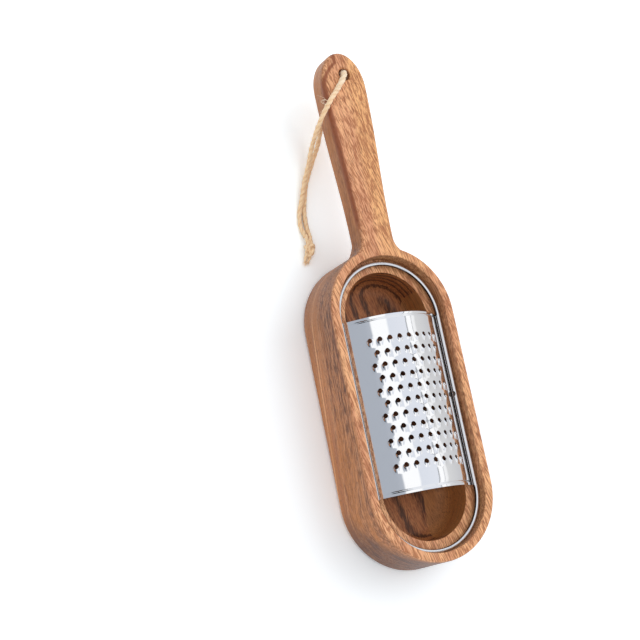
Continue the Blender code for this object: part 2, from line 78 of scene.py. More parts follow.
class TraySizes(bpy.types.PropertyGroup):
    end_radius: length("End radius", "Radius of the tray's two round ends", 0.048)
    half_straight: length("Half straight", "From the middle to where a round end begins", 0.0603)
    depth: length("Depth", "Height of the rim above the table", 0.044)
    base_fillet: length("Base fillet", "Rounding where the wall meets the base", 0.004)
    rim_fillet: length("Rim fillet", "Rounding of the rim's two edges", 0.001)
    recess_radius: length("Recess radius", "Radius of the recess that holds the insert", 0.0416)
    ledge_height: length("Ledge height", "Height of the ledge that the wire ring lies on", 0.0338)
    pocket_radius: length("Pocket radius", "Radius of the pocket under the blade", 0.0324)
    floor: length("Floor", "Thickness of the wood under the pocket", 0.008)
    pocket_fillet: length("Pocket fillet", "Rounding of the pocket's floor", 0.010)
    handle_under: length("Handle underside", "Height of the handle's underside", 0.026)
    neck: length("Neck", "Half the handle's width at the tray", 0.013)
    grip: length("Grip", "Half the handle's width at its widest", 0.0174)
    tip_y: length("Tip", "Where the handle ends", 0.2516)
    tip_length: length("Tip length", "Length of the rounded tip", 0.0256)
    flare: length("Flare", "Fillet between the handle's sides and the tray", 0.012)
    cove: length("Cove", "Fillet between the handle's underside and the tray", 0.012)
    handle_fillet: length("Handle fillet", "Rounding of the handle's lower edges", 0.0045)
    top_fillet: length("Top fillet", "Rounding of the outer top edges", 0.003)
    hole_radius: length("Hole radius", "Radius of the hanging hole", 0.0045)
    hole_x: length("Hole offset", "How far the hanging hole lies right of the handle's middle", 0.0015)
    hole_y: length("Hole place", "Where the hanging hole is", 0.2350)
    hole_flare: length("Hole flare", "Chamfer at both ends of the hanging hole", 0.0008)


class InsertSizes(bpy.types.PropertyGroup):
    wire_radius: length("Wire radius", "Half the thickness of the ring's wire", 0.0015)
    ring_radius: length("Ring radius", "Radius of the wire ring's round ends", 0.0390)
    wire_height: length("Wire height", "Height of the wire's middle", 0.0368)
    shift: length("Shift", "How far the insert lies off its recess's middle", -0.0010)
    weld_y: length("Weld place", "Where the ring's two ends are welded, along its right side", 0.0025)
    weld_length: length("Weld length", "Length of the weld bead", 0.0038)
    weld_radius: length("Weld radius", "Radius of the weld bead", 0.0010)
    sheet: length("Sheet", "Thickness of the blade's sheet", 0.0005)
    half_length: length("Half length", "From the middle to either end of the blade", 0.0598)
    arc_radius: length("Arc radius", "Radius of the blade's crown at mid-sheet", 0.0400)
    crown_height: length("Crown height", "Height of the blade's crown at mid-sheet", 0.05525)
    hem_radius: length("Hem radius", "Radius of the rolled hem at mid-sheet", 0.0020)
    hem_flat: length("Hem flat", "Width of sheet that lies on the ledge before the roll", 0.0005)
    hem_bend: length("Hem bend", "Radius of the bend between flank and ledge", 0.0007)
    hem_sweep: bpy.props.FloatProperty(
        name="Hem sweep", description="How far the hem is rolled up beside the wire",
        default=math.radians(60), subtype="ANGLE",
    )
    pitch: length("Tooth pitch", "Distance between teeth in a row", 0.0068)
    row_pitch: length("Row pitch", "Distance between rows of teeth", 0.0085)
    hole: length("Tooth hole", "Radius of the hole in front of each tooth", 0.00155)
    hole_stretch: bpy.props.FloatProperty(
        name="Hole stretch", description="Length of the hole, as a share of its width", default=1.15
    )
    hole_forward: length("Hole forward", "How far the hole lies ahead of the cell's middle", 0.0012)
    lip: length("Lip height", "How high a tooth stands above the sheet", 0.0008)
    overhang: length("Overhang", "How far the lip leans over its hole", 0.0002)
    tooth_width: length("Tooth width", "Half the width of a tooth at its foot", 0.0023)
    front_reach: length("Front reach", "From the cell's middle to the front of the foot", 0.0036)
    tail_reach: length("Tail reach", "From the cell's middle to the tip of the tail", 0.0041)
    bead_from_end: length("Bead place", "From the blade's end to the middle of its bead", 0.0023)
    bead_width: length("Bead width", "Half the width of the bead", 0.0008)
    bead_height: length("Bead height", "How high the bead stands", 0.0005)


class LoopSizes(bpy.types.PropertyGroup):
    thickness: length("Thickness", "Thickness of the jute twine", 0.0034)
    lay: length("Lay", "Length in which a strand goes once round", 0.0100)
    knot_across: length("Knot width", "A third of the half width of the knot's middle line", 0.00085)
    knot_along: length("Knot length", "A third of the half length of the knot's middle line", 0.00135)
    knot_rise: length("Knot rise", "How far the knot's middle line rises and falls", 0.0012)


class Finishes(bpy.types.PropertyGroup):
    wood: tint("Wood", "Light fibres of the oiled faces", "#F4B884")
    wood_streak: tint("Streaks", "Darker fibres of the oiled faces", "#A4623A")
    wood_pink: tint("Heartwood", "Pinkish heartwood of the faces", "#CE8A66")
    wood_sap: tint("Sapwood", "Yellower sapwood on the right of the faces", "#EDB070")
    # Darker than the faces: partly side grain, partly painted shade of the walls
    wood_side: tint("Side grain", "Wood of the outer wall, cut along the grain", "#B4734C")
    # Dark bands and flecks, and painted shade on the recess wall
    wood_side_dark_and_shade: tint("Side streaks", "Darker bands of the outer wall", "#62381F")
    wood_side_light: tint("Side light", "Lighter bands of the outer wall", "#D49668")
    wood_orange: tint("Orange wood", "Warmer wood of the outer wall", "#C27C42")
    # Darker wood towards the handle; at the front end's foot, end grain with painted shade
    wood_dark_and_shade: tint("Dark wood", "Heartwood at the front end's foot", "#5E4036")
    # A dark band along the handle's left top edge and across its tip
    wood_band: tint("Dark band", "Growth band along the handle's edge", "#8A4520")
    # The pocket's colour; the darker wood under the middle of the blade is painted shade
    wood_pocket: tint("Pocket", "Wood of the pocket, dark with oil", "#C27C48")
    wood_board: tint("Light board", "The lighter board on the right of the pocket", "#C98B4E")
    # Growth lines, and painted shade under the middle of the blade
    wood_lines_and_shade: tint("Dark lines", "Near-black growth lines in the pocket", "#3A1C0C")
    steel: tint("Steel", "Polished stainless steel", "#F2F3F5")
    wire: tint("Wire", "Drawn stainless wire", "#E4E5E8")
    # Also the wire's lower half, as painted shade
    weld: tint("Weld", "Oxide of the ring's weld", "#57504A")
    jute: tint("Jute", "Outer fibres of the twine", "#FFDFB4")
    # Darker fibres and flecks, and painted shade between the strands
    jute_dark_and_shade: tint("Jute hollows", "Between the strands", "#E0AC74")
    # Painted light: the twine is paler where it lies lit on top of the handle
    jute_pale: tint("Bleached jute", "Twine that lies in the light on the handle", "#F8E8CE")
    floor: tint("Floor", "Studio floor", "#F4F3F1")


# Within this distance two places are the same, and seams of the sheet close
TOUCH, SEAM = 1e-6, 1e-5
# How far the handle reaches into the tray's wall, for the two to be joined
HANDLE_ROOT = 0.0032
# The blade has this many rows with this many teeth, and between them rows with one tooth less
ROWS, TEETH = 6, 9
TOOTH_SIDES = 32
# What the jute's material reads: a map along the twine, its painted shade between the strands, and its
# painted light where it lies lit on the handle
LAY, PAINTED_SHADE_AND_LIGHT = "Lay", "Wear"
# Scale of a pattern that is written in millimetres
MILLIMETRES = (1000, 1000, 1000)
# Turns a circle from the floor's plane into the plane across the tray
UPRIGHT = (math.pi / 2, 0, 0)

# Where the knot lies, and its two directions on the floor
KNOT_MIDDLE = Vector((-0.0318, 0.1208, 0.0042))
KNOT_TURN = math.radians(-12)
KNOT_ALONG = Vector((-math.sin(KNOT_TURN), math.cos(KNOT_TURN), 0))
KNOT_ACROSS = Vector((math.cos(KNOT_TURN), math.sin(KNOT_TURN), 0))
# The loop's route, as in the part's source: from the knot over the handle, down the hole and back under it
CORD_ROUTE = (
    (-0.0324, 0.1306, 0.0034), (-0.0331, 0.1342, 0.0022), (-0.0338, 0.1390, 0.0017),
    (-0.0333, 0.1447, 0.0017), (-0.0320, 0.1502, 0.0019), (-0.0300, 0.1565, 0.0036),
    (-0.0277, 0.1640, 0.0050), (-0.0249, 0.1722, 0.0059), (-0.0228, 0.1772, 0.0070),
    (-0.0221, 0.1826, 0.0110), (-0.0224, 0.1892, 0.0180), (-0.0228, 0.1946, 0.0260),
    (-0.0229, 0.2002, 0.0350), (-0.0206, 0.2072, 0.0425), (-0.0160, 0.2145, 0.0466),
    (-0.0098, 0.2213, 0.0462), (-0.0046, 0.2276, 0.0463), (-0.0013, 0.2322, 0.0466),
    (0.0008, 0.2358, 0.0440), (0.0012, 0.2364, 0.0385), (0.0010, 0.2361, 0.0310),
    (0.0005, 0.2352, 0.0255), (-0.0006, 0.2314, 0.0205), (-0.0022, 0.2240, 0.0160),
    (-0.0044, 0.2140, 0.0120), (-0.0066, 0.2050, 0.0085), (-0.0090, 0.1972, 0.0060),
    (-0.0125, 0.1895, 0.0037), (-0.0165, 0.1815, 0.0022), (-0.0207, 0.1735, 0.0017),
    (-0.0242, 0.1650, 0.0017), (-0.0266, 0.1570, 0.0017), (-0.0284, 0.1500, 0.0017),
    (-0.0291, 0.1440, 0.0017), (-0.0292, 0.1385, 0.0017), (-0.0291, 0.1340, 0.0022),
    (-0.0291, 0.1300, 0.0034),
)

# ---------------------------------------------------------------- working by hand, in code


def put_down_all():
    """Leaves nothing selected, so that a new primitive stands alone."""
    if bpy.context.mode != "OBJECT":
        bpy.ops.object.mode_set(mode="OBJECT")
    bpy.ops.object.select_all(action="DESELECT")


def take_up(piece):
    """Makes this piece the only one selected."""
    put_down_all()
    piece.select_set(True)
    bpy.context.view_layer.objects.active = piece


def new_piece(name):
    """Names the primitive just added and puts its place into its mesh."""
    piece = bpy.context.active_object
    piece.name = name
    piece.data.name = name
    bpy.ops.object.transform_apply(location=True, rotation=True, scale=True)
    return piece


def pick(piece, kind="verts", test=lambda part: True):
    """Goes into edit mode and selects the vertices or edges that pass a test, or all of them."""
    if bpy.context.mode == "OBJECT":
        take_up(piece)
        bpy.ops.object.mode_set(mode="EDIT")
    bpy.ops.mesh.select_mode(type={"verts": "VERT", "edges": "EDGE"}[kind])
    bpy.ops.mesh.select_all(action="DESELECT")
    mesh = bmesh.from_edit_mesh(piece.data)
    for part in getattr(mesh, kind):
        if test(part):
            part.select_set(True)
    mesh.select_flush_mode()
    bmesh.update_edit_mesh(piece.data)


def extrude(step):
    """Extrudes what is selected by one step."""
    bpy.ops.mesh.extrude_region_move(TRANSFORM_OT_translate={"value": step})


def apply_modifier(piece, kind, **settings):
    """Adds one modifier and applies it at once."""
    take_up(piece)
    modifier = piece.modifiers.new(kind.title(), kind)
    for name, value in settings.items():
        setattr(modifier, name, value)
    bpy.ops.object.modifier_apply(modifier=modifier.name)


def clean(piece, gap=TOUCH):
    """Merges doubled vertices and turns the faces outwards."""
    pick(piece)
    bpy.ops.mesh.remove_doubles(threshold=gap)
    bpy.ops.mesh.normals_make_consistent(inside=False)
    bpy.ops.object.mode_set(mode="OBJECT")


def slide(piece, distance):
    """Moves a whole mesh along the tray."""
    pick(piece)
    bpy.ops.transform.translate(value=(0, distance, 0))
    bpy.ops.object.mode_set(mode="OBJECT")


def dress(piece, body, nodes, material, smooth=35):
    """Smooths a finished mesh, gives it its material and puts it in its CAD node's place."""
    take_up(piece)
    bpy.ops.object.shade_smooth_by_angle(angle=math.radians(smooth))
    piece.data.materials.clear()
    piece.data.materials.append(material)
    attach(piece, body)
    if nodes:
        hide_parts(*nodes)
    put_down_all()


def arc(centre, radius, first, last, steps):
    """Points of an arc in a plane, from one angle in degrees to another, both ends included."""
    turns = [math.radians(first + (last - first) * step / steps) for step in range(steps + 1)]
    return [(centre[0] + radius * math.cos(turn), centre[1] + radius * math.sin(turn)) for turn in turns]


def trace(name, points):
    """A new piece drawn as a line: a square, merged to a point that is extruded along the points."""
    put_down_all()
    bpy.ops.mesh.primitive_plane_add(size=0.001)
    piece = new_piece(name)
    pick(piece)
    bpy.ops.mesh.merge(type="CENTER")
    bpy.ops.transform.translate(value=points[0])
    for here, there in zip(points, points[1:]):
        extrude(Vector(there) - Vector(here))
    return piece


# ---------------------------------------------------------------- shader nodes


def add_node(tree, kind, *inputs, named=(), stops=(), **settings):
    """Adds a node: its settings, and its inputs in order or by name, as values, outputs or nodes to link."""
    node = tree.nodes.new("ShaderNode" + kind)
    for name, value in settings.items():
        setattr(node, name, value)
    if stops:
        elements = node.color_ramp.elements
        elements.remove(elements[1])
        elements[0].position, elements[0].color = stops[0]
        for place, colour in stops[1:]:
            elements.new(place).color = colour
    in_order = zip([socket for socket in node.inputs if socket.enabled], inputs)
    by_name = [(node.inputs[name], value) for name, value in dict(named).items()]
    for socket, value in [*in_order, *by_name]:
        if isinstance(value, bpy.types.Node):
            value = next(output for output in value.outputs if output.enabled)
        if isinstance(value, bpy.types.NodeSocket):
            tree.links.new(value, socket)
        elif value is not None:
            socket.default_value = value
    return node


def new_material(name):
    """An empty material, and the function that adds nodes to it."""
    material = bpy.data.materials.new(name)
    material.use_nodes = True
    material.node_tree.nodes.clear()
    return material, functools.partial(add_node, material.node_tree)


def mottle(add, place, steps, detail, low, high):
    """Patches of noise from 0 to 1, where steps says how many fall in a millimetre along each axis."""
    noise = add("TexNoise", add("Mapping", place, None, None, steps), 1.0, detail, 0.6)
    return add("MapRange", noise, low, high)


def where(add, *limits):
    """The share of a place inside all limits: each is a pattern, its start and end, and its share there."""
    share = None
    for limit in limits:
        near = add("MapRange", *limit)
        share = near if share is None else add("Math", share, near, operation="MULTIPLY")
    return share


def paint(add, under, *coats):
    """Lays coats over a colour, one by one: each has its colour and the limits within which it lies."""
    for colour, *limits in coats:
        under = add("Mix", where(add, *limits), under, colour, data_type="RGBA")
    return under


def oiled_acacia(finishes):
    """Acacia, sanded and oiled to a satin sheen: slanting fibres on the faces, long bands on the wall."""
    material, add = new_material("Oiled acacia")
    place = add("TexCoord").outputs["Object"]
    x, y, z = add("SeparateXYZ", place).outputs
    # Millimetres along the growth bands, which climb 5.6 degrees along the tray,
    # and along the fibres, which also lean 15 degrees across it
    climb, lean = math.radians(-5.6), math.radians(-15)
    boards = add("Mapping", place, None, (climb, 0, 0), MILLIMETRES)
    fibres = add("Mapping", place, None, (climb, 0, lean), MILLIMETRES)
    # Both sway in slow waves, some 80 mm long and 4 mm deep
    slow = add("Mapping", boards, None, None, (0.02, 0.008, 0.02))
    sway = add("TexNoise", slow, 1.0, 2.0).outputs["Color"]
    sway = add("VectorMath", sway, (0.5, 0.5, 0.5), operation="SUBTRACT")
    sway = add("VectorMath", sway, (14, 0, 10), operation="MULTIPLY")
    boards = add("VectorMath", boards, sway, operation="ADD")
    fibres = add("VectorMath", fibres, sway, operation="ADD")
    across, _, height = add("SeparateXYZ", boards).outputs

    # Fibres of 0.3 mm, drawn 1 mm wide so that they show, 20 mm long; pores of 0.2 mm, drawn 0.6 mm wide
    streak = mottle(add, fibres, (1.15, 0.065, 1.15), 2.0, 0.43, 0.57)
    pore = mottle(add, fibres, (1.6, 0.11, 1.6), 1.0, 0.58, 0.68)
    # Heartwood in patches of 10 mm, orange wood in wider ones, bands 2 to 5 mm high and flecks of 1 mm
    heart = mottle(add, boards, (0.09, 0.012, 0.09), 2.0, 0.40, 0.60)
    warm = mottle(add, boards, (0.04, 0.012, 0.10), 2.0, 0.46, 0.62)
    band = mottle(add, boards, (0.10, 0.005, 0.42), 3.0, 0.42, 0.60)
    fleck = mottle(add, boards, (0.8, 0.11, 0.8), 3.0, 0.43, 0.59)

    # Faces: yellower sapwood comes in on the right of the handle
    face = paint(
        add, finishes.wood,
        (finishes.wood_pink, (heart, 0, 1, 0, 0.7)),
        (finishes.wood_sap, (across, -1, 6, 0, 0.75), (y, 0.085, 0.125, 0.25, 1)),
        (finishes.wood_streak, (streak, 0, 1, 0, 0.86)),
    )

    # Outer wall, darker than the faces partly for its side grain and partly as painted shade: bands along it
    # with mottled, browner wood above them, one light line, and orange patches.
    # Then it is browner towards the handle, orange on the handle and at the front end,
    # and nearly black at the front end's foot: end grain cut across the bands, with painted shade where the
    # wall turns away from the lamp
    line = add("Math", add("Math", height, 8.6, operation="SUBTRACT"), operation="ABSOLUTE")
    low = add("Math", y, 0.75, z, operation="MULTIPLY_ADD")
    side = paint(
        add, finishes.wood_side,
        (finishes.wood_side_light, (band,)),
        (finishes.wood_side_dark_and_shade, (fleck, 0, 1, 0.15, 1), (height, 13, 22, 0.1, 1)),
        (finishes.wood, (line, 1.1, 0.2, 0, 0.8)),
        (finishes.wood_orange, (warm, 0, 1, 0, 0.6)),
        (finishes.wood_dark_and_shade, (y, 0.02, 0.08, 0, 0.36)),
        (finishes.wood_orange, (y, 0.105, 0.13, 0, 0.35)),
        (finishes.wood_orange, (y, -0.055, -0.105, 0, 0.5)),
        # Nearly black at the front end's foot: end grain and painted shade
        (finishes.wood_dark_and_shade, (y, -0.058, -0.088), (low, -0.033, -0.043), (band, 0, 1, 0.95, 0.65)),
    )

    # A dark band runs along the left top edge of the handle, and turns in across its tip
    inward = add("MapRange", y, 0.121, 0.226, 0.0130, 0.0174)
    turned = add("Math", add("MapRange", y, 0.2230, 0.2434), 2.2, operation="POWER")
    turned = add("Math", turned, -0.012, inward, operation="MULTIPLY_ADD")
    off = add("Math", add("Math", x, turned, operation="ADD"), -0.0004, operation="ADD")
    off = add("Math", off, operation="ABSOLUTE")

    # Inside, the distance from the tray's centre line tells its faces apart
    middle = add("Math", y, operation="ABSOLUTE")
    along = add("Math", middle, 0.0603, operation="SUBTRACT")
    along = add("Math", along, 0.0, operation="MAXIMUM")
    reach = add("VectorMath", add("CombineXYZ", x, along), operation="LENGTH")
    # Dark lines 5 mm apart round a pith 60 mm down, left of a joint with a lighter board
    flat = add("VectorMath", boards, (1, 0, 1), operation="MULTIPLY")
    pith = add("VectorMath", flat, (30, 0, -60), operation="DISTANCE")
    rings = add("Math", add("Math", pith, math.tau / 5, operation="MULTIPLY"), operation="SINE")
    rings = add("Math", fleck, 0.8, rings, operation="MULTIPLY_ADD")
    joint = add("Math", y, -0.0915, -0.0204, operation="MULTIPLY_ADD")
    joint = add("MapRange", add("Math", x, joint, operation="ADD"), 0.0002, -0.0002, 0.15, 1)
    # Under the blade the pocket is darkened with painted shade. The ledge is as the faces, and the wall above
    # it is darker with painted shade
    ledge = (z, 0.0334, 0.0337)
    pocket = paint(
        add, finishes.wood_pocket,
        (finishes.wood_streak, (streak,)),
        (finishes.wood_board, (joint, 1, 0.15, 0, 0.45)),
        (finishes.wood_lines_and_shade, (rings, 0.3, 1.3, 0, 0.85), (joint,)),
        # Painted shade of the blade over the middle of the pocket
        (finishes.wood_lines_and_shade, (middle, 0.060, 0.052, 0, 0.7)),
        (face, ledge),
        # Painted shade on the recess wall above the ledge
        (finishes.wood_side_dark_and_shade, (reach, 0.0412, 0.0415, 0, 0.2), ledge),
    )

    colour = paint(
        add, face,
        (side, (z, 0.0436, 0.0415)),
        (finishes.wood_band, (off, 0.0024, 0.0008, 0, 0.9), (y, 0.118, 0.128), (z, 0.039, 0.041)),
        (pocket, (reach, 0.0424, 0.0420), (z, 0.0436, 0.0425)),
        (finishes.wood_side_dark_and_shade, (pore, 0, 1, 0, 0.5)),
    )
    # Open pores and fibres are felt as well as seen
    relief = add("Math", add("Math", streak, -0.4, operation="MULTIPLY"), pore, operation="SUBTRACT")
    add("OutputMaterial", add("BsdfPrincipled", named={
        "Base Color": colour,
        "Roughness": add("MapRange", streak, 0, 1, 0.42, 0.56),
        "IOR": 1.5,
        "Normal": add("Bump", 0.25, 0.0002, named={"Height": relief}),
    }))
    return material


def polished_stainless(finishes):
    """Stainless sheet, mirror polished before it was punched: clear, with faint waves and wiping marks."""
    material, add = new_material("Mirror polished stainless sheet")
    place = add("TexCoord").outputs["Object"]
    # Wiping marks: real ones are hairlines of a few hundredths, drawn 0.3 mm wide, 25 mm long
    marks = add("TexNoise", add("Mapping", place, None, None, (3000, 40, 3000)), 1.0, 2.0)
    # The sheet is never quite flat: waves 9 mm across and a few microns deep
    waves = add("TexNoise", place, 110.0, 1.0)
    add("OutputMaterial", add("BsdfPrincipled", named={
        "Base Color": finishes.steel,
        "Metallic": 1.0,
        "Roughness": add("MapRange", marks, 0.3, 0.75, 0.04, 0.10),
        "Normal": add("Bump", 0.15, 0.0002, named={"Height": waves}),
    }))
    return material


def drawn_wire(finishes):
    """Stainless wire as it was drawn: bright, and a little rough."""
    material, add = new_material("Drawn stainless wire")
    place = add("TexCoord").outputs["Object"]
    grit = add("TexNoise", place, 1500.0, 2.0)
    # Bright on its top; below that it is painted near black, as painted shade of the narrow gap between the
    # wire and the wood
    height = add("SeparateXYZ", place).outputs["Z"]
    add("OutputMaterial", add("BsdfPrincipled", named={
        "Base Color": paint(add, finishes.weld, (finishes.wire, (height, 0.0373, 0.0377))),
        "Metallic": 1.0,
        "Roughness": add("MapRange", grit, 0.3, 0.7, 0.06, 0.12),
        "Normal": add("Bump", 0.15, 0.0001, named={"Height": grit}),
    }))
    return material


def weld_oxide(finishes):
    """Butt weld left as it cooled: brown-black oxide, rough and dull, in grains half a millimetre across."""
    material, add = new_material("Weld oxide")
    place = add("Mapping", add("TexCoord").outputs["Object"], None, None, MILLIMETRES)
    grain = mottle(add, place, (2, 2, 2), 2.0, 0.3, 0.7)
    rough = add("MapRange", grain, 0, 1, 0.35, 0.6)
    add("OutputMaterial", add("BsdfPrincipled", named={
        "Base Color": finishes.weld, "Metallic": 1.0, "Roughness": rough,
    }))
    return material


def twisted_jute(finishes):
    """Jute twine: matt, hairy fibres along each strand, golden, with painted shade between its strands and
    painted light where it lies lit on the handle.
    """
    material, add = new_material("Twisted jute")
    place = add("UVMap", uv_map=LAY)
    # The map is in twine thicknesses, so fibres are a sixteenth of one wide, drawn coarser than real ones
    fibre = add("TexNoise", add("Mapping", place, None, None, (0.9, 16, 1)), 1.0, 3.0, 0.65)
    fleck = add("TexNoise", add("Mapping", place, None, None, (0.9, 5, 1)), 1.0, 1.0)
    groove_shade, lit_paleness, _ = add("SeparateColor", add("VertexColor", layer_name=PAINTED_SHADE_AND_LIGHT)).outputs
    colour = paint(
        add, finishes.jute,
        # Painted light where the twine lies lit on the handle
        (finishes.jute_pale, (lit_paleness,)),
        (finishes.jute_dark_and_shade, (fibre, 0.48, 0.78, 0, 0.4)),
        (finishes.jute_dark_and_shade, (fleck, 0.58, 0.74, 0, 0.6)),
        # Painted shade between the strands
        (finishes.jute_dark_and_shade, (groove_shade,)),
    )
    add("OutputMaterial", add("BsdfPrincipled", named={
        "Base Color": colour,
        "Roughness": 0.85,
        "Sheen Weight": 0.4,
        "Sheen Roughness": 0.5,
        "Normal": add("Bump", 0.6, 0.0003, named={"Height": fibre}),
    }))
    return material


# ---------------------------------------------------------------- the wooden tray


def trough_section(sizes):
    """The trough in section, from under its middle, round wall and rim, and down to the pocket's middle."""
    wall, top = sizes.end_radius, sizes.depth
    base, rim, floor, high = sizes.base_fillet, sizes.rim_fillet, sizes.pocket_fillet, sizes.top_fillet
    edge = 0.0005
    return [
        (0.0, 0.0),
        *arc((wall - base, base), base, -90, 0, 6),
        *[(wall - rim + rim * x, top - high + high * z) for x, z in arc((0, 0), 1, 0, 90, 8)],
        *arc((sizes.recess_radius + rim, top - rim), rim, 90, 180, 4),
        *arc((sizes.recess_radius - edge, sizes.ledge_height + edge), edge, 0, -90, 2),
        *arc((sizes.pocket_radius + edge, sizes.ledge_height - edge), edge, 90, 180, 3),
        *arc((sizes.pocket_radius - floor, sizes.floor + floor), floor, 0, -90, 10),
        (0.0, sizes.floor),
    ]


def sweep_round(piece, half, steps):
    """Sweeps a section once round the tray: along one side, round an end, along the other side and round."""
    for way in (-1, 1):
        pick(piece, "verts", lambda vert: abs(vert.co.y + way * half) < TOUCH and vert.co.x * way < TOUCH)
        extrude((0, 2 * way * half, 0))
        bpy.ops.mesh.spin(steps=steps, angle=math.pi, center=(0, way * half, 0), axis=(0, 0, 1))
    clean(piece)


def handle_side(sizes):
    """The handle's right side in plan, from inside the tray's wall to the tip, and the angle it starts at."""
    narrow = sizes.neck - 0.00003
    centre_x, reach = sizes.neck + sizes.flare, sizes.end_radius + sizes.flare
    centre_y = sizes.half_straight + math.sqrt(reach**2 - centre_x**2)
    lean = math.degrees(math.atan2(centre_y - sizes.half_straight, centre_x))
    side = arc((0, sizes.half_straight), sizes.end_radius - HANDLE_ROOT, lean, lean, 1)[:1]
    side += arc((centre_x, centre_y), centre_x - narrow, lean - 180, -180, 14)
    widest, steps = sizes.tip_y - sizes.tip_length, 24
    for step in range(1, steps + 1):
        swell = (1 - math.cos(math.pi * step / steps)) / 2
        side.append((narrow + (sizes.grip - narrow) * swell, centre_y + (widest - centre_y) * step / steps))
    side += [(sizes.grip * x, widest + sizes.tip_length * y) for x, y in arc((0, 0), 1.0, 0, 90, 20)[1:]]
    return side, lean


def make_handle(sizes):
    """The handle: its outline is filled and raised to its full thickness, and its edges are rounded."""
    side, lean = handle_side(sizes)
    inner = arc((0, sizes.half_straight), sizes.end_radius - HANDLE_ROOT, 180 - lean, lean, 12)
    outline = side[:-1] + [(0.0, sizes.tip_y)] + [(-x, y) for x, y in side[-2::-1]] + inner[1:]
    handle = trace("Handle blank", [(x, y, sizes.handle_under) for x, y in outline])
    bpy.ops.mesh.select_all(action="SELECT")
    bpy.ops.mesh.remove_doubles(threshold=TOUCH)
    bpy.ops.mesh.edge_face_add()
    extrude((0, 0, sizes.depth - sizes.handle_under))

    def outside(vert):
        return math.hypot(vert.co.x, vert.co.y - sizes.half_straight) > sizes.end_radius - 0.002

    for height, radius in ((sizes.handle_under, sizes.handle_fillet), (sizes.depth, sizes.top_fillet)):
        pick(
            handle, "edges",
            lambda edge: all(abs(v.co.z - height) < TOUCH and outside(v) for v in edge.verts),
        )
        bpy.ops.mesh.bevel(offset=radius, offset_type="OFFSET", segments=7, profile=0.5, affect="EDGES")
    clean(handle)
    return handle


def make_cove(sizes):
    """The swelling under the handle: a tapered block, hollowed by a ring-shaped cutter to meet both faces."""
    sink, overlap, inset, spare = 0.00002, 0.0015, 0.006, 0.0005
    wall, bottom = sizes.half_straight + sizes.end_radius, sizes.handle_under - sizes.cove + sink
    near, far = wall - inset, wall + sizes.cove + spare
    narrow, taper_along, taper_down = sizes.neck - sizes.handle_fillet + 0.0012, 1.35, 0.9
    put_down_all()
    bpy.ops.mesh.primitive_cube_add(size=1)
    block = new_piece("Cove block")
    for vertex in block.data.vertices:
        high, out = vertex.co.z > 0, vertex.co.y > 0
        half_width = narrow * (1.0 if out else taper_along) * (1.0 if high else taper_down)
        height = sizes.handle_under + overlap if high else bottom
        vertex.co = (math.copysign(half_width, vertex.co.x), far if out else near, height)
    put_down_all()
    bpy.ops.mesh.primitive_torus_add(
        major_radius=sizes.end_radius + sizes.cove - sink, minor_radius=sizes.cove,
        major_segments=240, minor_segments=64, location=(0, sizes.half_straight, bottom),
    )
    cutter = new_piece("Cove cutter")
    apply_modifier(block, "BOOLEAN", operation="DIFFERENCE", solver="EXACT", object=cutter)
    bpy.data.objects.remove(cutter)
    return block


def make_hole_cutter(sizes):
    """A turned cutter for the hanging hole, wider at both faces of the handle."""
    low, high, spare = sizes.handle_under, sizes.depth, 0.004
    bore, flare = sizes.hole_radius, sizes.hole_flare
    wide = bore + flare
    section = [
        (0.0, low - spare), (wide, low - spare), (wide, low), (bore, low + flare),
        (bore, high - flare), (wide, high), (wide, high + spare), (0.0, high + spare),
    ]
    cutter = trace("Hole cutter", [(sizes.hole_x + r, sizes.hole_y, z) for r, z in section])
    bpy.ops.mesh.select_all(action="SELECT")
    bpy.ops.mesh.spin(steps=48, angle=math.tau, center=(sizes.hole_x, sizes.hole_y, 0), axis=(0, 0, 1))
    clean(cutter)
    return cutter


class GRATER_OT_make_tray(bpy.types.Operator):
    """Turns the wooden tray, joins its handle to it and bores the hanging hole"""

    bl_idname = "grater.make_tray"
    bl_label = "Make Tray"

    def execute(self, context):
        sizes = context.scene.grater_tray
        half = sizes.half_straight
        tray = trace("tray", [(x, half, z) for x, z in trough_section(sizes)])
        sweep_round(tray, half, 96)
        handle, cove, hole = make_handle(sizes), make_cove(sizes), make_hole_cutter(sizes)
        for piece, way in ((handle, "UNION"), (cove, "UNION"), (hole, "DIFFERENCE")):
            # Both tops are made exactly level, so that no sliver is left between them
            for vertex in [*tray.data.vertices, *piece.data.vertices]:
                if abs(vertex.co.z - sizes.depth) < TOUCH:
                    vertex.co.z = sizes.depth
            apply_modifier(tray, "BOOLEAN", operation=way, solver="EXACT", object=piece)
            bpy.data.objects.remove(piece)
        clean(tray, 2 * TOUCH)
        dress(tray, "tray", ["wooden_body"], oiled_acacia(context.scene.grater_finishes))
        apply_modifier(tray, "WEIGHTED_NORMAL", keep_sharp=True)
        return {"FINISHED"}


# ---------------------------------------------------------------- the insert


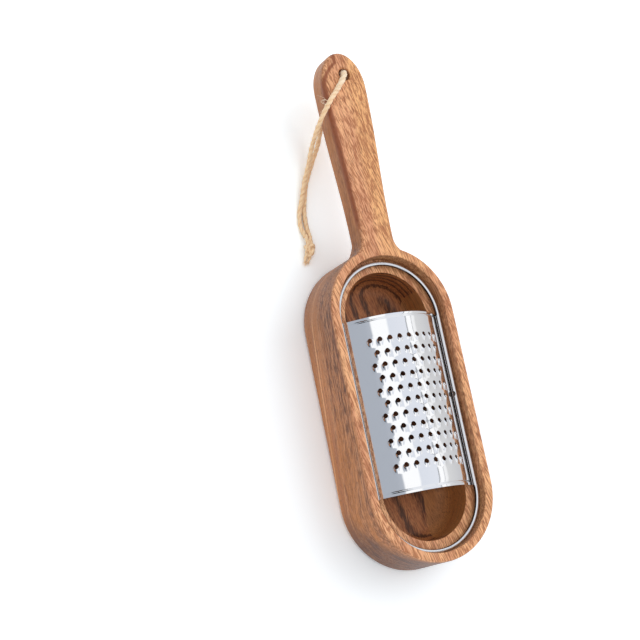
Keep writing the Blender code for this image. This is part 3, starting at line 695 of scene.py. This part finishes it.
class GRATER_OT_make_wire_ring(bpy.types.Operator):
    """Bends the wire ring that the blade is hemmed onto"""

    bl_idname = "grater.make_wire_ring"
    bl_label = "Make Wire Ring"

    def execute(self, context):
        sizes, half = context.scene.grater_insert, context.scene.grater_tray.half_straight
        finishes = context.scene.grater_finishes
        put_down_all()
        bpy.ops.mesh.primitive_circle_add(
            vertices=20, radius=sizes.wire_radius, rotation=UPRIGHT,
            location=(sizes.ring_radius, half, sizes.wire_height),
        )
        ring = new_piece("ring_wire")
        sweep_round(ring, half, 56)
        slide(ring, sizes.shift)
        dress(ring, "insert", ["wire_frame"], drawn_wire(finishes), 60)
        # Its two ends are butt welded half way along its right side, and a small bead stands out there
        bead = sizes.weld_radius
        bpy.ops.mesh.primitive_uv_sphere_add(
            segments=20, ring_count=12, radius=1, scale=(bead, sizes.weld_length / 2, bead),
            location=(sizes.ring_radius - bead, sizes.weld_y, sizes.wire_height + bead / 2),
        )
        dress(new_piece("ring_weld"), "insert", [], weld_oxide(finishes), 60)
        return {"FINISHED"}


def lip_share(rise):
    """The share of its height that the lip has, by the sine of its turn: none in front, all behind."""
    share = min(max((0.55 - rise) / 1.55, 0.0), 1.0)
    return share * share * (3 - 2 * share)


def tooth_ring(sizes, reach):
    """One ring of a tooth's vertices: reach 0 is the hole's edge, 1 the tooth's foot, 2 the cell's border."""
    quarters = [step / 4 for step in range(8)]
    border = [(1, q) for q in quarters[:4]] + [(1 - q, 1) for q in quarters] + [(-1, 1 - q) for q in quarters]
    border += [(q - 1, -1) for q in quarters] + [(1, q - 1) for q in quarters[:4]]
    deep, back = sizes.hole * sizes.hole_stretch, 0.24 * sizes.front_reach
    ring = []
    for step, (across, along) in enumerate(border):
        turn = math.tau * step / TOOTH_SIDES
        run, rise = math.cos(turn), math.sin(turn)
        lip = lip_share(rise)
        edge = Vector((sizes.hole * run, sizes.hole_forward + deep * rise + sizes.overhang * lip, 0))
        if rise >= 0:
            foot_y = back + (sizes.front_reach - back) * rise
        else:
            foot_y = back - (sizes.tail_reach + back) * abs(rise) ** 1.6
        foot = Vector((sizes.tooth_width * run, foot_y, 0))
        if reach <= 1:
            point = edge.lerp(foot, reach)
            point.z = sizes.lip * lip * (1 - reach) ** 2 * (1 + 1.2 * reach)
        else:
            corner = Vector((across * sizes.pitch / 2, along * sizes.row_pitch / 2, 0))
            point = foot.lerp(corner, reach - 1)
        ring.append(point)
    return ring


def make_tooth(sizes):
    """One punched tooth in its cell: the hole's edge is extruded, ring by ring, to the cell's border."""
    put_down_all()
    bpy.ops.mesh.primitive_circle_add(vertices=TOOTH_SIDES, radius=sizes.hole, fill_type="NOTHING")
    tooth = new_piece("Tooth")
    turns = [math.atan2(vert.co.y, vert.co.x) % math.tau for vert in tooth.data.vertices]
    places = [sorted(turns).index(turn) for turn in turns]
    pick(tooth)
    for reach in (0.0, 0.14, 0.34, 0.6, 0.82, 1.0, 2.0):
        if reach:
            extrude((0, 0, 0))
        mesh = bmesh.from_edit_mesh(tooth.data)
        ring = tooth_ring(sizes, reach)
        for vert, place in zip([vert for vert in mesh.verts if vert.select], places, strict=True):
            vert.co = ring[place]
        bmesh.update_edit_mesh(tooth.data)
    bpy.ops.object.mode_set(mode="OBJECT")
    return tooth


def repeat(piece, count, step):
    """Copies a plot of sheet side by side, and joins the copies along their borders."""
    apply_modifier(
        piece, "ARRAY", count=count, use_relative_offset=False, use_constant_offset=True,
        constant_offset_displace=step, use_merge_vertices=True, merge_threshold=SEAM,
    )


def make_field(sizes):
    """The toothed field, laid flat: long and short rows in turn, the short ones with plain half cells."""
    tooth = make_tooth(sizes)
    pitch, row = sizes.pitch, sizes.row_pitch
    plots = []
    for count, rows in ((TEETH, ROWS), (TEETH - 1, ROWS - 1)):
        plot = tooth.copy()
        plot.data = tooth.data.copy()
        bpy.context.collection.objects.link(plot)
        repeat(plot, count, (pitch, 0, 0))
        repeat(plot, rows, (0, 2 * row, 0))
        pick(plot)
        bpy.ops.transform.translate(value=(-pitch * (count - 1) / 2, -row * (rows - 1), 0))
        plots.append(plot)
    for way in (-1, 1):
        put_down_all()
        place = (way * (TEETH - 0.5) / 2 * pitch, -(ROWS - 2) * row, 0)
        bpy.ops.mesh.primitive_grid_add(x_subdivisions=4, y_subdivisions=8, size=1, location=place)
        bpy.context.active_object.scale = (pitch / 2, row, 1)
        plot = new_piece("Plain half cell")
        repeat(plot, ROWS - 1, (0, 2 * row, 0))
        plots.append(plot)
    take_up(tooth)
    bpy.data.objects.remove(tooth)
    field = plots[0]
    take_up(field)
    for plot in plots:
        plot.select_set(True)
    bpy.ops.object.join()
    field.name = field.data.name = "grating_sheet"
    clean(field, SEAM)
    return field


def add_plain_edges(sheet, sizes):
    """Draws the plain ends out with their beads, then the plain flanks, while the sheet is still flat."""
    field_x, field_y = sizes.pitch * TEETH / 2, sizes.row_pitch * (ROWS - 0.5)
    bead, wide, spare = sizes.half_length - sizes.bead_from_end, sizes.bead_width, 0.0003
    rows = [(field_y + (bead - wide - field_y) * step / 3, 0.0) for step in range(1, 4)]
    for along in [step / 4 - 1 for step in range(1, 8)]:
        rows.append((bead + wide * along, sizes.bead_height * (1 + math.cos(math.pi * along)) / 2))
    rows += [(bead + wide, 0.0), (sizes.half_length - spare, 0.0), (sizes.half_length, 0.0)]
    for way in (-1, 1):
        pick_border(sheet, "y", way, field_y - SEAM)
        here = (field_y, 0.0)
        for along, rise in rows:
            extrude((0, way * (along - here[0]), rise - here[1]))
            here = (along, rise)
    half_angle, flank = blade_flank(sizes)
    width, steps = sizes.arc_radius * half_angle + flank - field_x, 7
    for way in (-1, 1):
        pick_border(sheet, "x", way, field_x - SEAM)
        for _ in range(steps):
            extrude((way * width / steps, 0, 0))
    bpy.ops.object.mode_set(mode="OBJECT")


def pick_border(sheet, axis, way, limit):
    """Selects the sheet's free edges that lie past a limit, to one side."""

    def past(vert):
        return getattr(vert.co, axis) * way > limit

    pick(sheet, "edges", lambda edge: edge.is_boundary and all(past(vert) for vert in edge.verts))


def hem_corner(sizes):
    """Middle of the bend between flank and ledge: how far from the tray's middle, and how high."""
    return sizes.ring_radius - sizes.hem_flat, sizes.wire_height - sizes.hem_radius + sizes.hem_bend


def blade_flank(sizes):
    """Half the angle of the blade's crown, and the length of the flat flank between it and the hem's bend."""
    side, bend = hem_corner(sizes)
    drop = bend - (sizes.crown_height - sizes.arc_radius)
    apart, reach = math.hypot(side, drop), sizes.arc_radius + sizes.hem_bend
    return math.atan2(side, drop) - math.acos(reach / apart), math.sqrt(apart**2 - reach**2)


def bow(sheet, sizes):
    """Bends the flat sheet onto its arc, leaves its flanks flat, and lets the beads run out towards them."""
    centre_z, fade = sizes.crown_height - sizes.arc_radius, 0.007
    half_angle = blade_flank(sizes)[0]
    for vertex in sheet.data.vertices:
        across, along, rise = vertex.co
        rise *= 1 - min(max((abs(across) - sizes.pitch * TEETH / 2) / fade, 0.0), 1.0)
        turn = max(-half_angle, min(half_angle, across / sizes.arc_radius))
        flat = across - turn * sizes.arc_radius
        radius = sizes.arc_radius + rise
        vertex.co = (
            radius * math.sin(turn) + flat * math.cos(turn), along,
            centre_z + radius * math.cos(turn) - flat * math.sin(turn),
        )


def roll_hems(sheet, sizes):
    """Turns each long edge out along the ledge, then rolls it round the wire."""
    side, bend = hem_corner(sizes)
    half_angle, axis = blade_flank(sizes)[0], (0, 1, 0)
    for way in (-1, 1):
        pick_border(sheet, "x", way, side - sizes.hem_bend * math.sin(half_angle) - SEAM)
        bpy.ops.mesh.spin(steps=4, angle=way * half_angle, center=(way * side, 0, bend), axis=axis)
        extrude((way * sizes.hem_flat, 0, 0))
        wire = (way * sizes.ring_radius, 0, sizes.wire_height)
        bpy.ops.mesh.spin(steps=8, angle=way * sizes.hem_sweep, center=wire, axis=axis)
    clean(sheet)


class GRATER_OT_make_blade(bpy.types.Operator):
    """Punches the blade's teeth, bows the sheet and rolls its long edges round the wire"""

    bl_idname = "grater.make_blade"
    bl_label = "Make Blade"

    def execute(self, context):
        sizes = context.scene.grater_insert
        blade = make_field(sizes)
        add_plain_edges(blade, sizes)
        bow(blade, sizes)
        roll_hems(blade, sizes)
        slide(blade, sizes.shift)
        apply_modifier(blade, "SOLIDIFY", thickness=sizes.sheet, offset=0.0, use_even_offset=True)
        steel = polished_stainless(context.scene.grater_finishes)
        dress(blade, "insert", ["grater_blade"], steel)
        return {"FINISHED"}


# ---------------------------------------------------------------- the jute loop


def smooth_route(route, spacing):
    """Points at even spacing along a smooth curve through the route."""
    points = [Vector(point) for point in route]
    padded = [2 * points[0] - points[1]] + points + [2 * points[-1] - points[-2]]
    fine = []
    for before, start, stop, after in zip(padded, padded[1:], padded[2:], padded[3:]):
        for t in [step / 12 for step in range(12)]:
            point = 2 * start + (stop - before) * t
            point += (2 * before - 5 * start + 4 * stop - after) * t**2
            point += (3 * start - before - 3 * stop + after) * t**3
            fine.append(point / 2)
    fine.append(points[-1])
    reached = [0.0]
    for here, there in zip(fine, fine[1:]):
        reached.append(reached[-1] + (there - here).length)
    count = max(2, round(reached[-1] / spacing))
    even, at = [], 0
    for step in range(count + 1):
        target = reached[-1] * step / count
        while at < len(fine) - 2 and reached[at + 1] < target:
            at += 1
        share = (target - reached[at]) / (reached[at + 1] - reached[at])
        even.append(fine[at].lerp(fine[at + 1], share))
    return even


def carried_frames(path):
    """Two directions square to the path at each point, carried along it without twist."""
    side, frames = None, []
    for step in range(len(path)):
        ahead = (path[min(step + 1, len(path) - 1)] - path[max(step - 1, 0)]).normalized()
        if side is None:
            side = ahead.orthogonal().normalized()
        side = (side - ahead * side.dot(ahead)).normalized()
        frames.append((side.copy(), ahead.cross(side)))
    return frames


def wear_and_light(point):
    """How loose the twine is, and how much painted light pales it where it lies lit: wholly at the hole, not
    at all at the handle's edge or below.
    """
    across = min(max((point.x + 0.0206) / 0.0214, 0.0), 1.0)
    height = min(max((point.z - 0.036) / 0.007, 0.0), 1.0)
    return across * height


def jute_mesh():
    """An empty bmesh with the map, and the painted shade and painted light, that the jute's material reads.
    """
    mesh = bmesh.new()
    mesh.loops.layers.uv.new(LAY)
    mesh.loops.layers.float_color.new(PAINTED_SHADE_AND_LIGHT)
    return mesh


def add_face(mesh, corners):
    """A face of jute: each corner has its vertex, its place in the map, its painted shade and its painted
    light.
    """
    face = mesh.faces.new([corner[0] for corner in corners])
    for loop, (_, place, deep, pale) in zip(face.loops, corners):
        loop[mesh.loops.layers.uv[LAY]].uv = place
        loop[mesh.loops.layers.float_color[PAINTED_SHADE_AND_LIGHT]] = (deep, pale, 0.0, 1.0)


def uneven(reached, *waves):
    """How uneven the twine is at a place along it: each wave has its height and its length in a radian."""
    return sum(height * math.sin(reached / run) for height, run in waves)


def twine(mesh, path, thickness, lay, turn=0.0, around=20, taper=1.0):
    """A length of two-stranded twine along a path."""
    reached, rings = 0.0, []
    for step, (point, (side, up)) in enumerate(zip(path, carried_frames(path))):
        if step:
            reached += (point - path[step - 1]).length
        twist = turn + math.tau * reached / lay + uneven(reached, (0.5, 0.0057), (0.35, 0.0023))
        pale = wear_and_light(point)
        width = thickness / 2 * (1 + 0.25 * pale) * (1 + (taper - 1) * step / (len(path) - 1))
        width *= 1 + uneven(reached, (0.04, 0.0031), (0.03, 0.0013))
        ring = []
        for place in range(around + 1):
            here = math.tau * place / around
            # Two strands, pressed flat together
            full = 0.72 + 0.28 * abs(math.cos(here)) ** 0.7
            if place < around:
                way = side * math.cos(here + twist) + up * math.sin(here + twist)
                spot = point + way * (width * full)
                spot.z = max(spot.z, 0.0001)
                vert = mesh.verts.new(spot)
            else:
                vert = ring[0][0]
            # Painted shade in the groove between the two strands, less where painted light pales the twine
            deep = (1 - full) * 1.7 * (1 - 0.35 * pale)
            ring.append((vert, (reached / thickness, place / around), deep, pale))
        rings.append(ring)
    for near, far in zip(rings, rings[1:]):
        for place in range(around):
            add_face(mesh, [near[place], near[place + 1], far[place + 1], far[place]])
    for ring in (rings[0], rings[-1]):
        add_face(mesh, [(vert, (u, 0.5), 0.6, pale) for vert, (u, v), deep, pale in ring[:-1]])


def fibre(mesh, route, spacing, thickness, pale):
    """A single stray fibre along a route: a three-sided thread that thins towards its tip."""
    path, rings = smooth_route(route, spacing), []
    for step, (point, (side, up)) in enumerate(zip(path, carried_frames(path))):
        radius = thickness / 2 * (1 - 0.6 * step / (len(path) - 1))
        corners = [side * math.cos(t) + up * math.sin(t) for t in (0, math.tau / 3, math.tau * 2 / 3)]
        rings.append([mesh.verts.new(point + corner * radius) for corner in corners])
    faces = [rings[0], rings[-1][::-1]]
    for near, far in zip(rings, rings[1:]):
        faces += [(near[i], near[i - 2], far[i - 2], far[i]) for i in range(3)]
    for face in faces:
        add_face(mesh, [(vert, (len(mesh.verts) * 0.37 % 7, 0.3), 0.0, pale) for vert in face])


def piece_from(mesh, name):
    """Makes an object of a bmesh."""
    data = bpy.data.meshes.new(name)
    bmesh.ops.recalc_face_normals(mesh, faces=mesh.faces)
    mesh.to_mesh(data)
    mesh.free()
    piece = bpy.data.objects.new(name, data)
    bpy.context.scene.collection.objects.link(piece)
    return piece


def lying_fibres(mesh, path, sizes, chance):
    """Fibres that have come loose from the strands: they lie along them and lift at their ends."""
    fibres, shortest, longest, hairy, table = 520, 8, 20, 0.12, 0.0002
    frames, gap = carried_frames(path), (path[1] - path[0]).length
    for _ in range(fibres):
        first = chance.randrange(2, len(path) - longest - 2)
        count = chance.randrange(shortest, longest)
        turn, wind = chance.uniform(0, math.tau), chance.uniform(0.3, 1.3) * math.tau / sizes.lay
        lift = chance.uniform(0.0002, 0.0009) * (2.2 if chance.random() < hairy else 1.0)
        points = []
        for step in range(0, count, 2):
            at, share = first + step, step / count
            side, up = frames[at]
            here = turn + wind * step * gap
            width = sizes.thickness / 2 * (0.86 + 0.35 * wear_and_light(path[at])) + lift * (2 * share - 1) ** 4
            point = path[at] + (side * math.cos(here) + up * math.sin(here)) * width
            point.z = max(point.z, table)
            points.append(point)
        fibre(mesh, points, 0.0008, 0.00013, 0.35 + 0.65 * wear_and_light(path[first]))


def curled_fibres(mesh):
    """Pale loops, and two long fibres, where the twine rubs on the handle's edge."""
    middle, drift = Vector((-0.0190, 0.2125, 0.0452)), Vector((-0.0002, 0.00016, 0))
    curls = (
        (0.0030, 0.3, 0.5, 0.55), (0.0024, 2.2, -0.4, 0.7),
        (0.0019, 4.0, 0.8, 0.8), (0.0034, 5.2, 0.2, 0.4),
    )
    for size, turn, lean, squash in curls:
        points, steps, bend = [], 11, 0.56
        for step in range(steps):
            here = turn + step * bend
            across = Vector((math.cos(here), math.sin(here) * squash, 0.25 + lean * 0.3 * math.sin(here)))
            points.append(middle + across * size + drift * step)
        fibre(mesh, points, 0.0005, 0.00022, 1.0)
    for route in (
        ((-0.0178, 0.2136, 0.0455), (-0.0212, 0.2166, 0.0462), (-0.0245, 0.2198, 0.0430)),
        ((-0.0192, 0.2100, 0.0450), (-0.0222, 0.2086, 0.0455), (-0.0246, 0.2062, 0.0425)),
    ):
        fibre(mesh, route, 0.0006, 0.0002, 1.0)


def tie_knot(sizes):
    """An overhand knot in the doubled end: the twine crosses itself three times, then both ends run out."""
    mesh, lay, gap = jute_mesh(), 0.009, 0.0006
    along, across, up = KNOT_ALONG, KNOT_ACROSS, Vector((0, 0, 1))
    for twin in (0, 1):
        apart, points = twin - 0.5, []
        for t in [math.tau * step / 48 for step in range(49)]:
            points.append(
                KNOT_MIDDLE
                + across * (sizes.knot_across * (math.sin(t) + 2 * math.sin(2 * t)) + apart * 0.0011)
                + along * (sizes.knot_along * (math.cos(t) - 2 * math.cos(2 * t)) + apart * 0.0009)
                + up * (apart * 0.0006 - sizes.knot_rise * math.sin(3 * t))
            )
        twine(mesh, smooth_route(points, gap), 0.0029, lay, turn=twin * 1.3, around=16)
    for way in (-1, 1):
        start = KNOT_MIDDLE + along * 0.002 + across * way * 0.0008
        end = Vector(CORD_ROUTE[0 if way < 0 else -1]) + along * 0.0006
        half = start.lerp(end, 0.5) + up * 0.0006
        twine(mesh, smooth_route([start, half, end], gap), 0.0030, lay, around=16)
        start = KNOT_MIDDLE - along * 0.003 + across * (way * 0.0009 - 0.0006)
        end = KNOT_MIDDLE - along * 0.0085 + across * (way * 0.0012 - 0.0014) - up * 0.0023
        half = start.lerp(end, 0.5) + across * way * 0.0004
        twine(mesh, smooth_route([start, half, end], gap), 0.0028, lay, around=14, taper=0.75)
    return piece_from(mesh, "loop_knot")


def knot_fibres(mesh, chance):
    """The frayed end below the knot, and hairs all round the knot."""
    along, across, frayed, hairs = KNOT_ALONG, KNOT_ACROSS, 60, 70
    for _ in range(frayed):
        start = KNOT_MIDDLE - along * chance.uniform(0.0070, 0.0088)
        start = start + across * chance.uniform(-0.0034, 0.0010)
        start.z = chance.uniform(0.0008, 0.0030)
        tip = start - along * chance.uniform(0.001, 0.0042) + across * chance.uniform(-0.0016, 0.0012)
        tip.z = chance.uniform(0.0003, 0.0026)
        bend = start.lerp(tip, 0.5) + across * chance.uniform(-0.0006, 0.0006)
        fibre(mesh, [start, bend, tip], 0.0007, 0.00018, 0.2)
    for _ in range(hairs):
        out = Vector([chance.uniform(-1, 1) for _ in range(3)]).normalized()
        start = KNOT_MIDDLE + along * out.y * 0.0052 + across * out.x * 0.0036
        start = start + Vector((0, 0, out.z * 0.0024))
        start.z = max(start.z, 0.0004)
        tip = start + out * chance.uniform(0.0008, 0.0022)
        tip.z = max(tip.z, 0.0003)
        bend = start.lerp(tip, 0.5) + along * chance.uniform(-0.0008, 0.0008)
        fibre(mesh, [start, bend, tip], 0.0006, 0.00014, 0.4)


class GRATER_OT_make_loop(bpy.types.Operator):
    """Lays the jute loop through the handle's hole and ties it in a knot"""

    bl_idname = "grater.make_loop"
    bl_label = "Make Jute Loop"

    def execute(self, context):
        sizes = context.scene.grater_loop
        jute = twisted_jute(context.scene.grater_finishes)
        path = smooth_route(CORD_ROUTE, 0.0005)
        mesh = jute_mesh()
        twine(mesh, path, sizes.thickness, sizes.lay)
        loop = piece_from(mesh, "jute_loop")
        dress(loop, "tray", ["hanging_cord"], jute, 50)
        knot = tie_knot(sizes)
        dress(knot, "tray", ["cord_knot"], jute, 50)

        chance, mesh = random.Random(7), jute_mesh()
        lying_fibres(mesh, path, sizes, chance)
        curled_fibres(mesh)
        knot_fibres(mesh, chance)
        hairs = piece_from(mesh, "stray_fibres")
        dress(hairs, "tray", [], jute, 60)

        return {"FINISHED"}


# ---------------------------------------------------------------- the studio


def seen_directly(add):
    """Whether the camera sees a place, itself or in a reflection or through something clear."""
    rays = add("LightPath").outputs
    seen = add("Math", rays["Is Camera Ray"], rays["Is Glossy Ray"], operation="MAXIMUM")
    return add("Math", seen, rays["Is Transmission Ray"], operation="MAXIMUM")


def studio_floor(finishes):
    """Matt white floor. Where it is seen or reflected, it is lifted to white and keeps its shadow."""
    material, add = new_material("Matt white floor")
    # It is lifted more beside the handle: painted light that pales the handle's shadow there
    along = add("SeparateXYZ", add("TexCoord").outputs["Object"]).outputs["Y"]
    lift = paint(add, (1.12, 1.155, 1.18, 1), ((1.27, 1.36, 1.40, 1), (along, 0.06, 0.14)))
    colour = add("Mix", seen_directly(add), finishes.floor, lift, data_type="RGBA")
    add("OutputMaterial", add("BsdfDiffuse", colour))
    return material


def reflector_cloth():
    """White cloth of a light tent, in panels of a few greys, which only polished metal shows."""
    material, add = new_material("Light tent cloth")
    x, y, z = add("SeparateXYZ", add("TexCoord").outputs["Object"]).outputs
    # From 120 degrees on the left, through overhead, to 120 degrees on the right
    turn = add("Math", x, z, operation="ARCTAN2")
    share = add("MapRange", turn, math.radians(-120), math.radians(120))
    panels = [
        (-120, "#1C1E22"), (-76, "#3A3E44"), (-68, "#A0A6AF"), (-40, "#B2B7C0"), (-37, "#FFFFFF"),
        (-8, "#FFFFFF"), (-5, "#DCE0E8"), (31, "#E2E5EC"), (32, "#888C92"), (33, "#888C92"),
        (34, "#FFFFFF"), (44, "#FFFFFF"), (45, "#9A9DA2"), (46, "#F4F4F4"), (52, "#F0F0F0"),
        (55, "#D6D6D6"), (90, "#C8C8CA"), (120, "#8A8A8C"),
    ]
    stops = [((degrees + 120) / 240, linear(grey)) for degrees, grey in panels]
    cloth = add("ValToRGB", share, stops=stops)
    # Both ends of the tent are closed with white cloth, and with black on the left, below 1.2 m
    end = paint(add, linear("#E6E8EC"), (linear("#1E2024"), (x, -0.35, -0.5), (z, 1.25, 1.15)))
    away = add("Math", add("Math", y, -0.2, operation="ADD"), operation="ABSOLUTE")
    cloth = paint(add, cloth, (end, (away, 2.15, 2.19)))
    add("OutputMaterial", add("Emission", cloth, 1.1))
    return material


def make_tent():
    """The light tent: half a drum of cloth over the object, closed at both ends."""
    put_down_all()
    bpy.ops.mesh.primitive_circle_add(vertices=96, radius=2.4, location=(0, -2, 0), rotation=UPRIGHT)
    tent = new_piece("light_tent")
    pick(tent, "verts", lambda vert: vert.co.z < -0.01)
    bpy.ops.mesh.delete(type="VERT")
    # Its cloth lies on the floor up to 0.16 m from the tray's middle
    for way in (-1, 1):
        pick(tent, "verts", lambda vert: vert.co.z < 0.01 and vert.co.x * way > 0)
        extrude((-way * 2.24, 0, 0.001))
    pick(tent)
    extrude((0, 4.4, 0))
    for way in (-1, 1):
        pick(tent, "edges", lambda edge: all((vert.co.y - 0.2) * way > 2.1 for vert in edge.verts))
        bpy.ops.mesh.edge_face_add()
    bpy.ops.object.mode_set(mode="OBJECT")
    tent.data.materials.append(reflector_cloth())
    for ray in ("camera", "diffuse", "transmission", "volume_scatter", "shadow"):
        setattr(tent, "visible_" + ray, False)


def light_world(scene):
    """A world that lights the object evenly, and is white where it is seen."""
    world = bpy.data.worlds.new("Studio")
    scene.world = world
    world.use_nodes = True
    world.node_tree.nodes.clear()
    add = functools.partial(add_node, world.node_tree)
    colour = add("Mix", seen_directly(add), (0.86, 0.87, 0.88, 1), (1, 1, 1, 1), data_type="RGBA")
    add("OutputWorld", add("Background", colour, 1.0))


class GRATER_OT_make_stage(bpy.types.Operator):
    """Sets up the floor, the light tent, the lamps and the camera"""

    bl_idname = "grater.make_stage"
    bl_label = "Make Stage"

    def execute(self, context):
        scene = context.scene
        put_down_all()
        bpy.ops.mesh.primitive_plane_add(size=12)
        floor = new_piece("studio_floor")
        floor.data.materials.append(studio_floor(scene.grater_finishes))
        make_tent()
        light_world(scene)

        target = Vector((0, 0.06, 0.03))
        for name, place, power in (("Key lamp", (1.15, 0.55, 1.35), 10), ("Fill lamp", (-0.9, -0.9, 1.6), 2)):
            put_down_all()
            bpy.ops.object.light_add(type="AREA", location=place)
            lamp = bpy.context.active_object
            lamp.name = name
            lamp.data.energy, lamp.data.size = power, 1.6
            lamp.rotation_euler = (target - Vector(place)).to_track_quat("-Z", "Y").to_euler()
            lamp.visible_glossy = False

        put_down_all()
        bpy.ops.object.camera_add()
        camera = bpy.context.active_object
        # Its place and lens were fitted to the object's outlines
        camera.matrix_world = Matrix((
            (0.86914, 0.07732, -0.48849, -0.5401),
            (-0.19698, 0.96010, -0.19851, -0.1352),
            (0.45365, 0.26876, 0.84969, 0.8827),
            (0, 0, 0, 1),
        ))
        camera.data.lens, camera.data.sensor_width = 84.57, 36.0
        camera.data.clip_start = 0.01
        scene.camera = camera
        scene.view_settings.view_transform = "Standard"
        return {"FINISHED"}


# ---------------------------------------------------------------- the add-on


class GRATER_PT_parts(bpy.types.Panel):
    """Lists the grater's parts in the sidebar"""

    bl_idname = "GRATER_PT_parts"
    bl_label = "Cheese Grater"
    bl_space_type = "VIEW_3D"
    bl_region_type = "UI"
    bl_category = "Cheese Grater"

    def draw(self, context):
        for key in GROUPS:
            group, box = getattr(context.scene, key), self.layout.box()
            for name in group.__annotations__:
                box.prop(group, name)
        for operator in OPERATORS:
            self.layout.operator(operator.bl_idname)


GROUPS = {
    "grater_tray": (TraySizes, "Tray", "Sizes of the tray"),
    "grater_insert": (InsertSizes, "Insert", "Sizes of the insert"),
    "grater_loop": (LoopSizes, "Loop", "Sizes of the loop"),
    "grater_finishes": (Finishes, "Finishes", "Colours"),
}
OPERATORS = (
    GRATER_OT_make_stage,
    GRATER_OT_make_loop,
    GRATER_OT_make_tray,
    GRATER_OT_make_wire_ring,
    GRATER_OT_make_blade,
)
CLASSES = (TraySizes, InsertSizes, LoopSizes, Finishes, *OPERATORS, GRATER_PT_parts)


def register():
    for kind in CLASSES:
        bpy.utils.register_class(kind)
    for key, (kind, name, text) in GROUPS.items():
        setattr(bpy.types.Scene, key, bpy.props.PointerProperty(type=kind, name=name, description=text))


def unregister():
    for key in GROUPS:
        delattr(bpy.types.Scene, key)
    for kind in reversed(CLASSES):
        bpy.utils.unregister_class(kind)


def main():
    """Makes every piece in turn."""
    register()
    bpy.ops.grater.make_stage()
    bpy.ops.grater.make_loop()
    bpy.ops.grater.make_tray()
    bpy.ops.grater.make_wire_ring()
    bpy.ops.grater.make_blade()


if __name__ == "__main__":
    main()
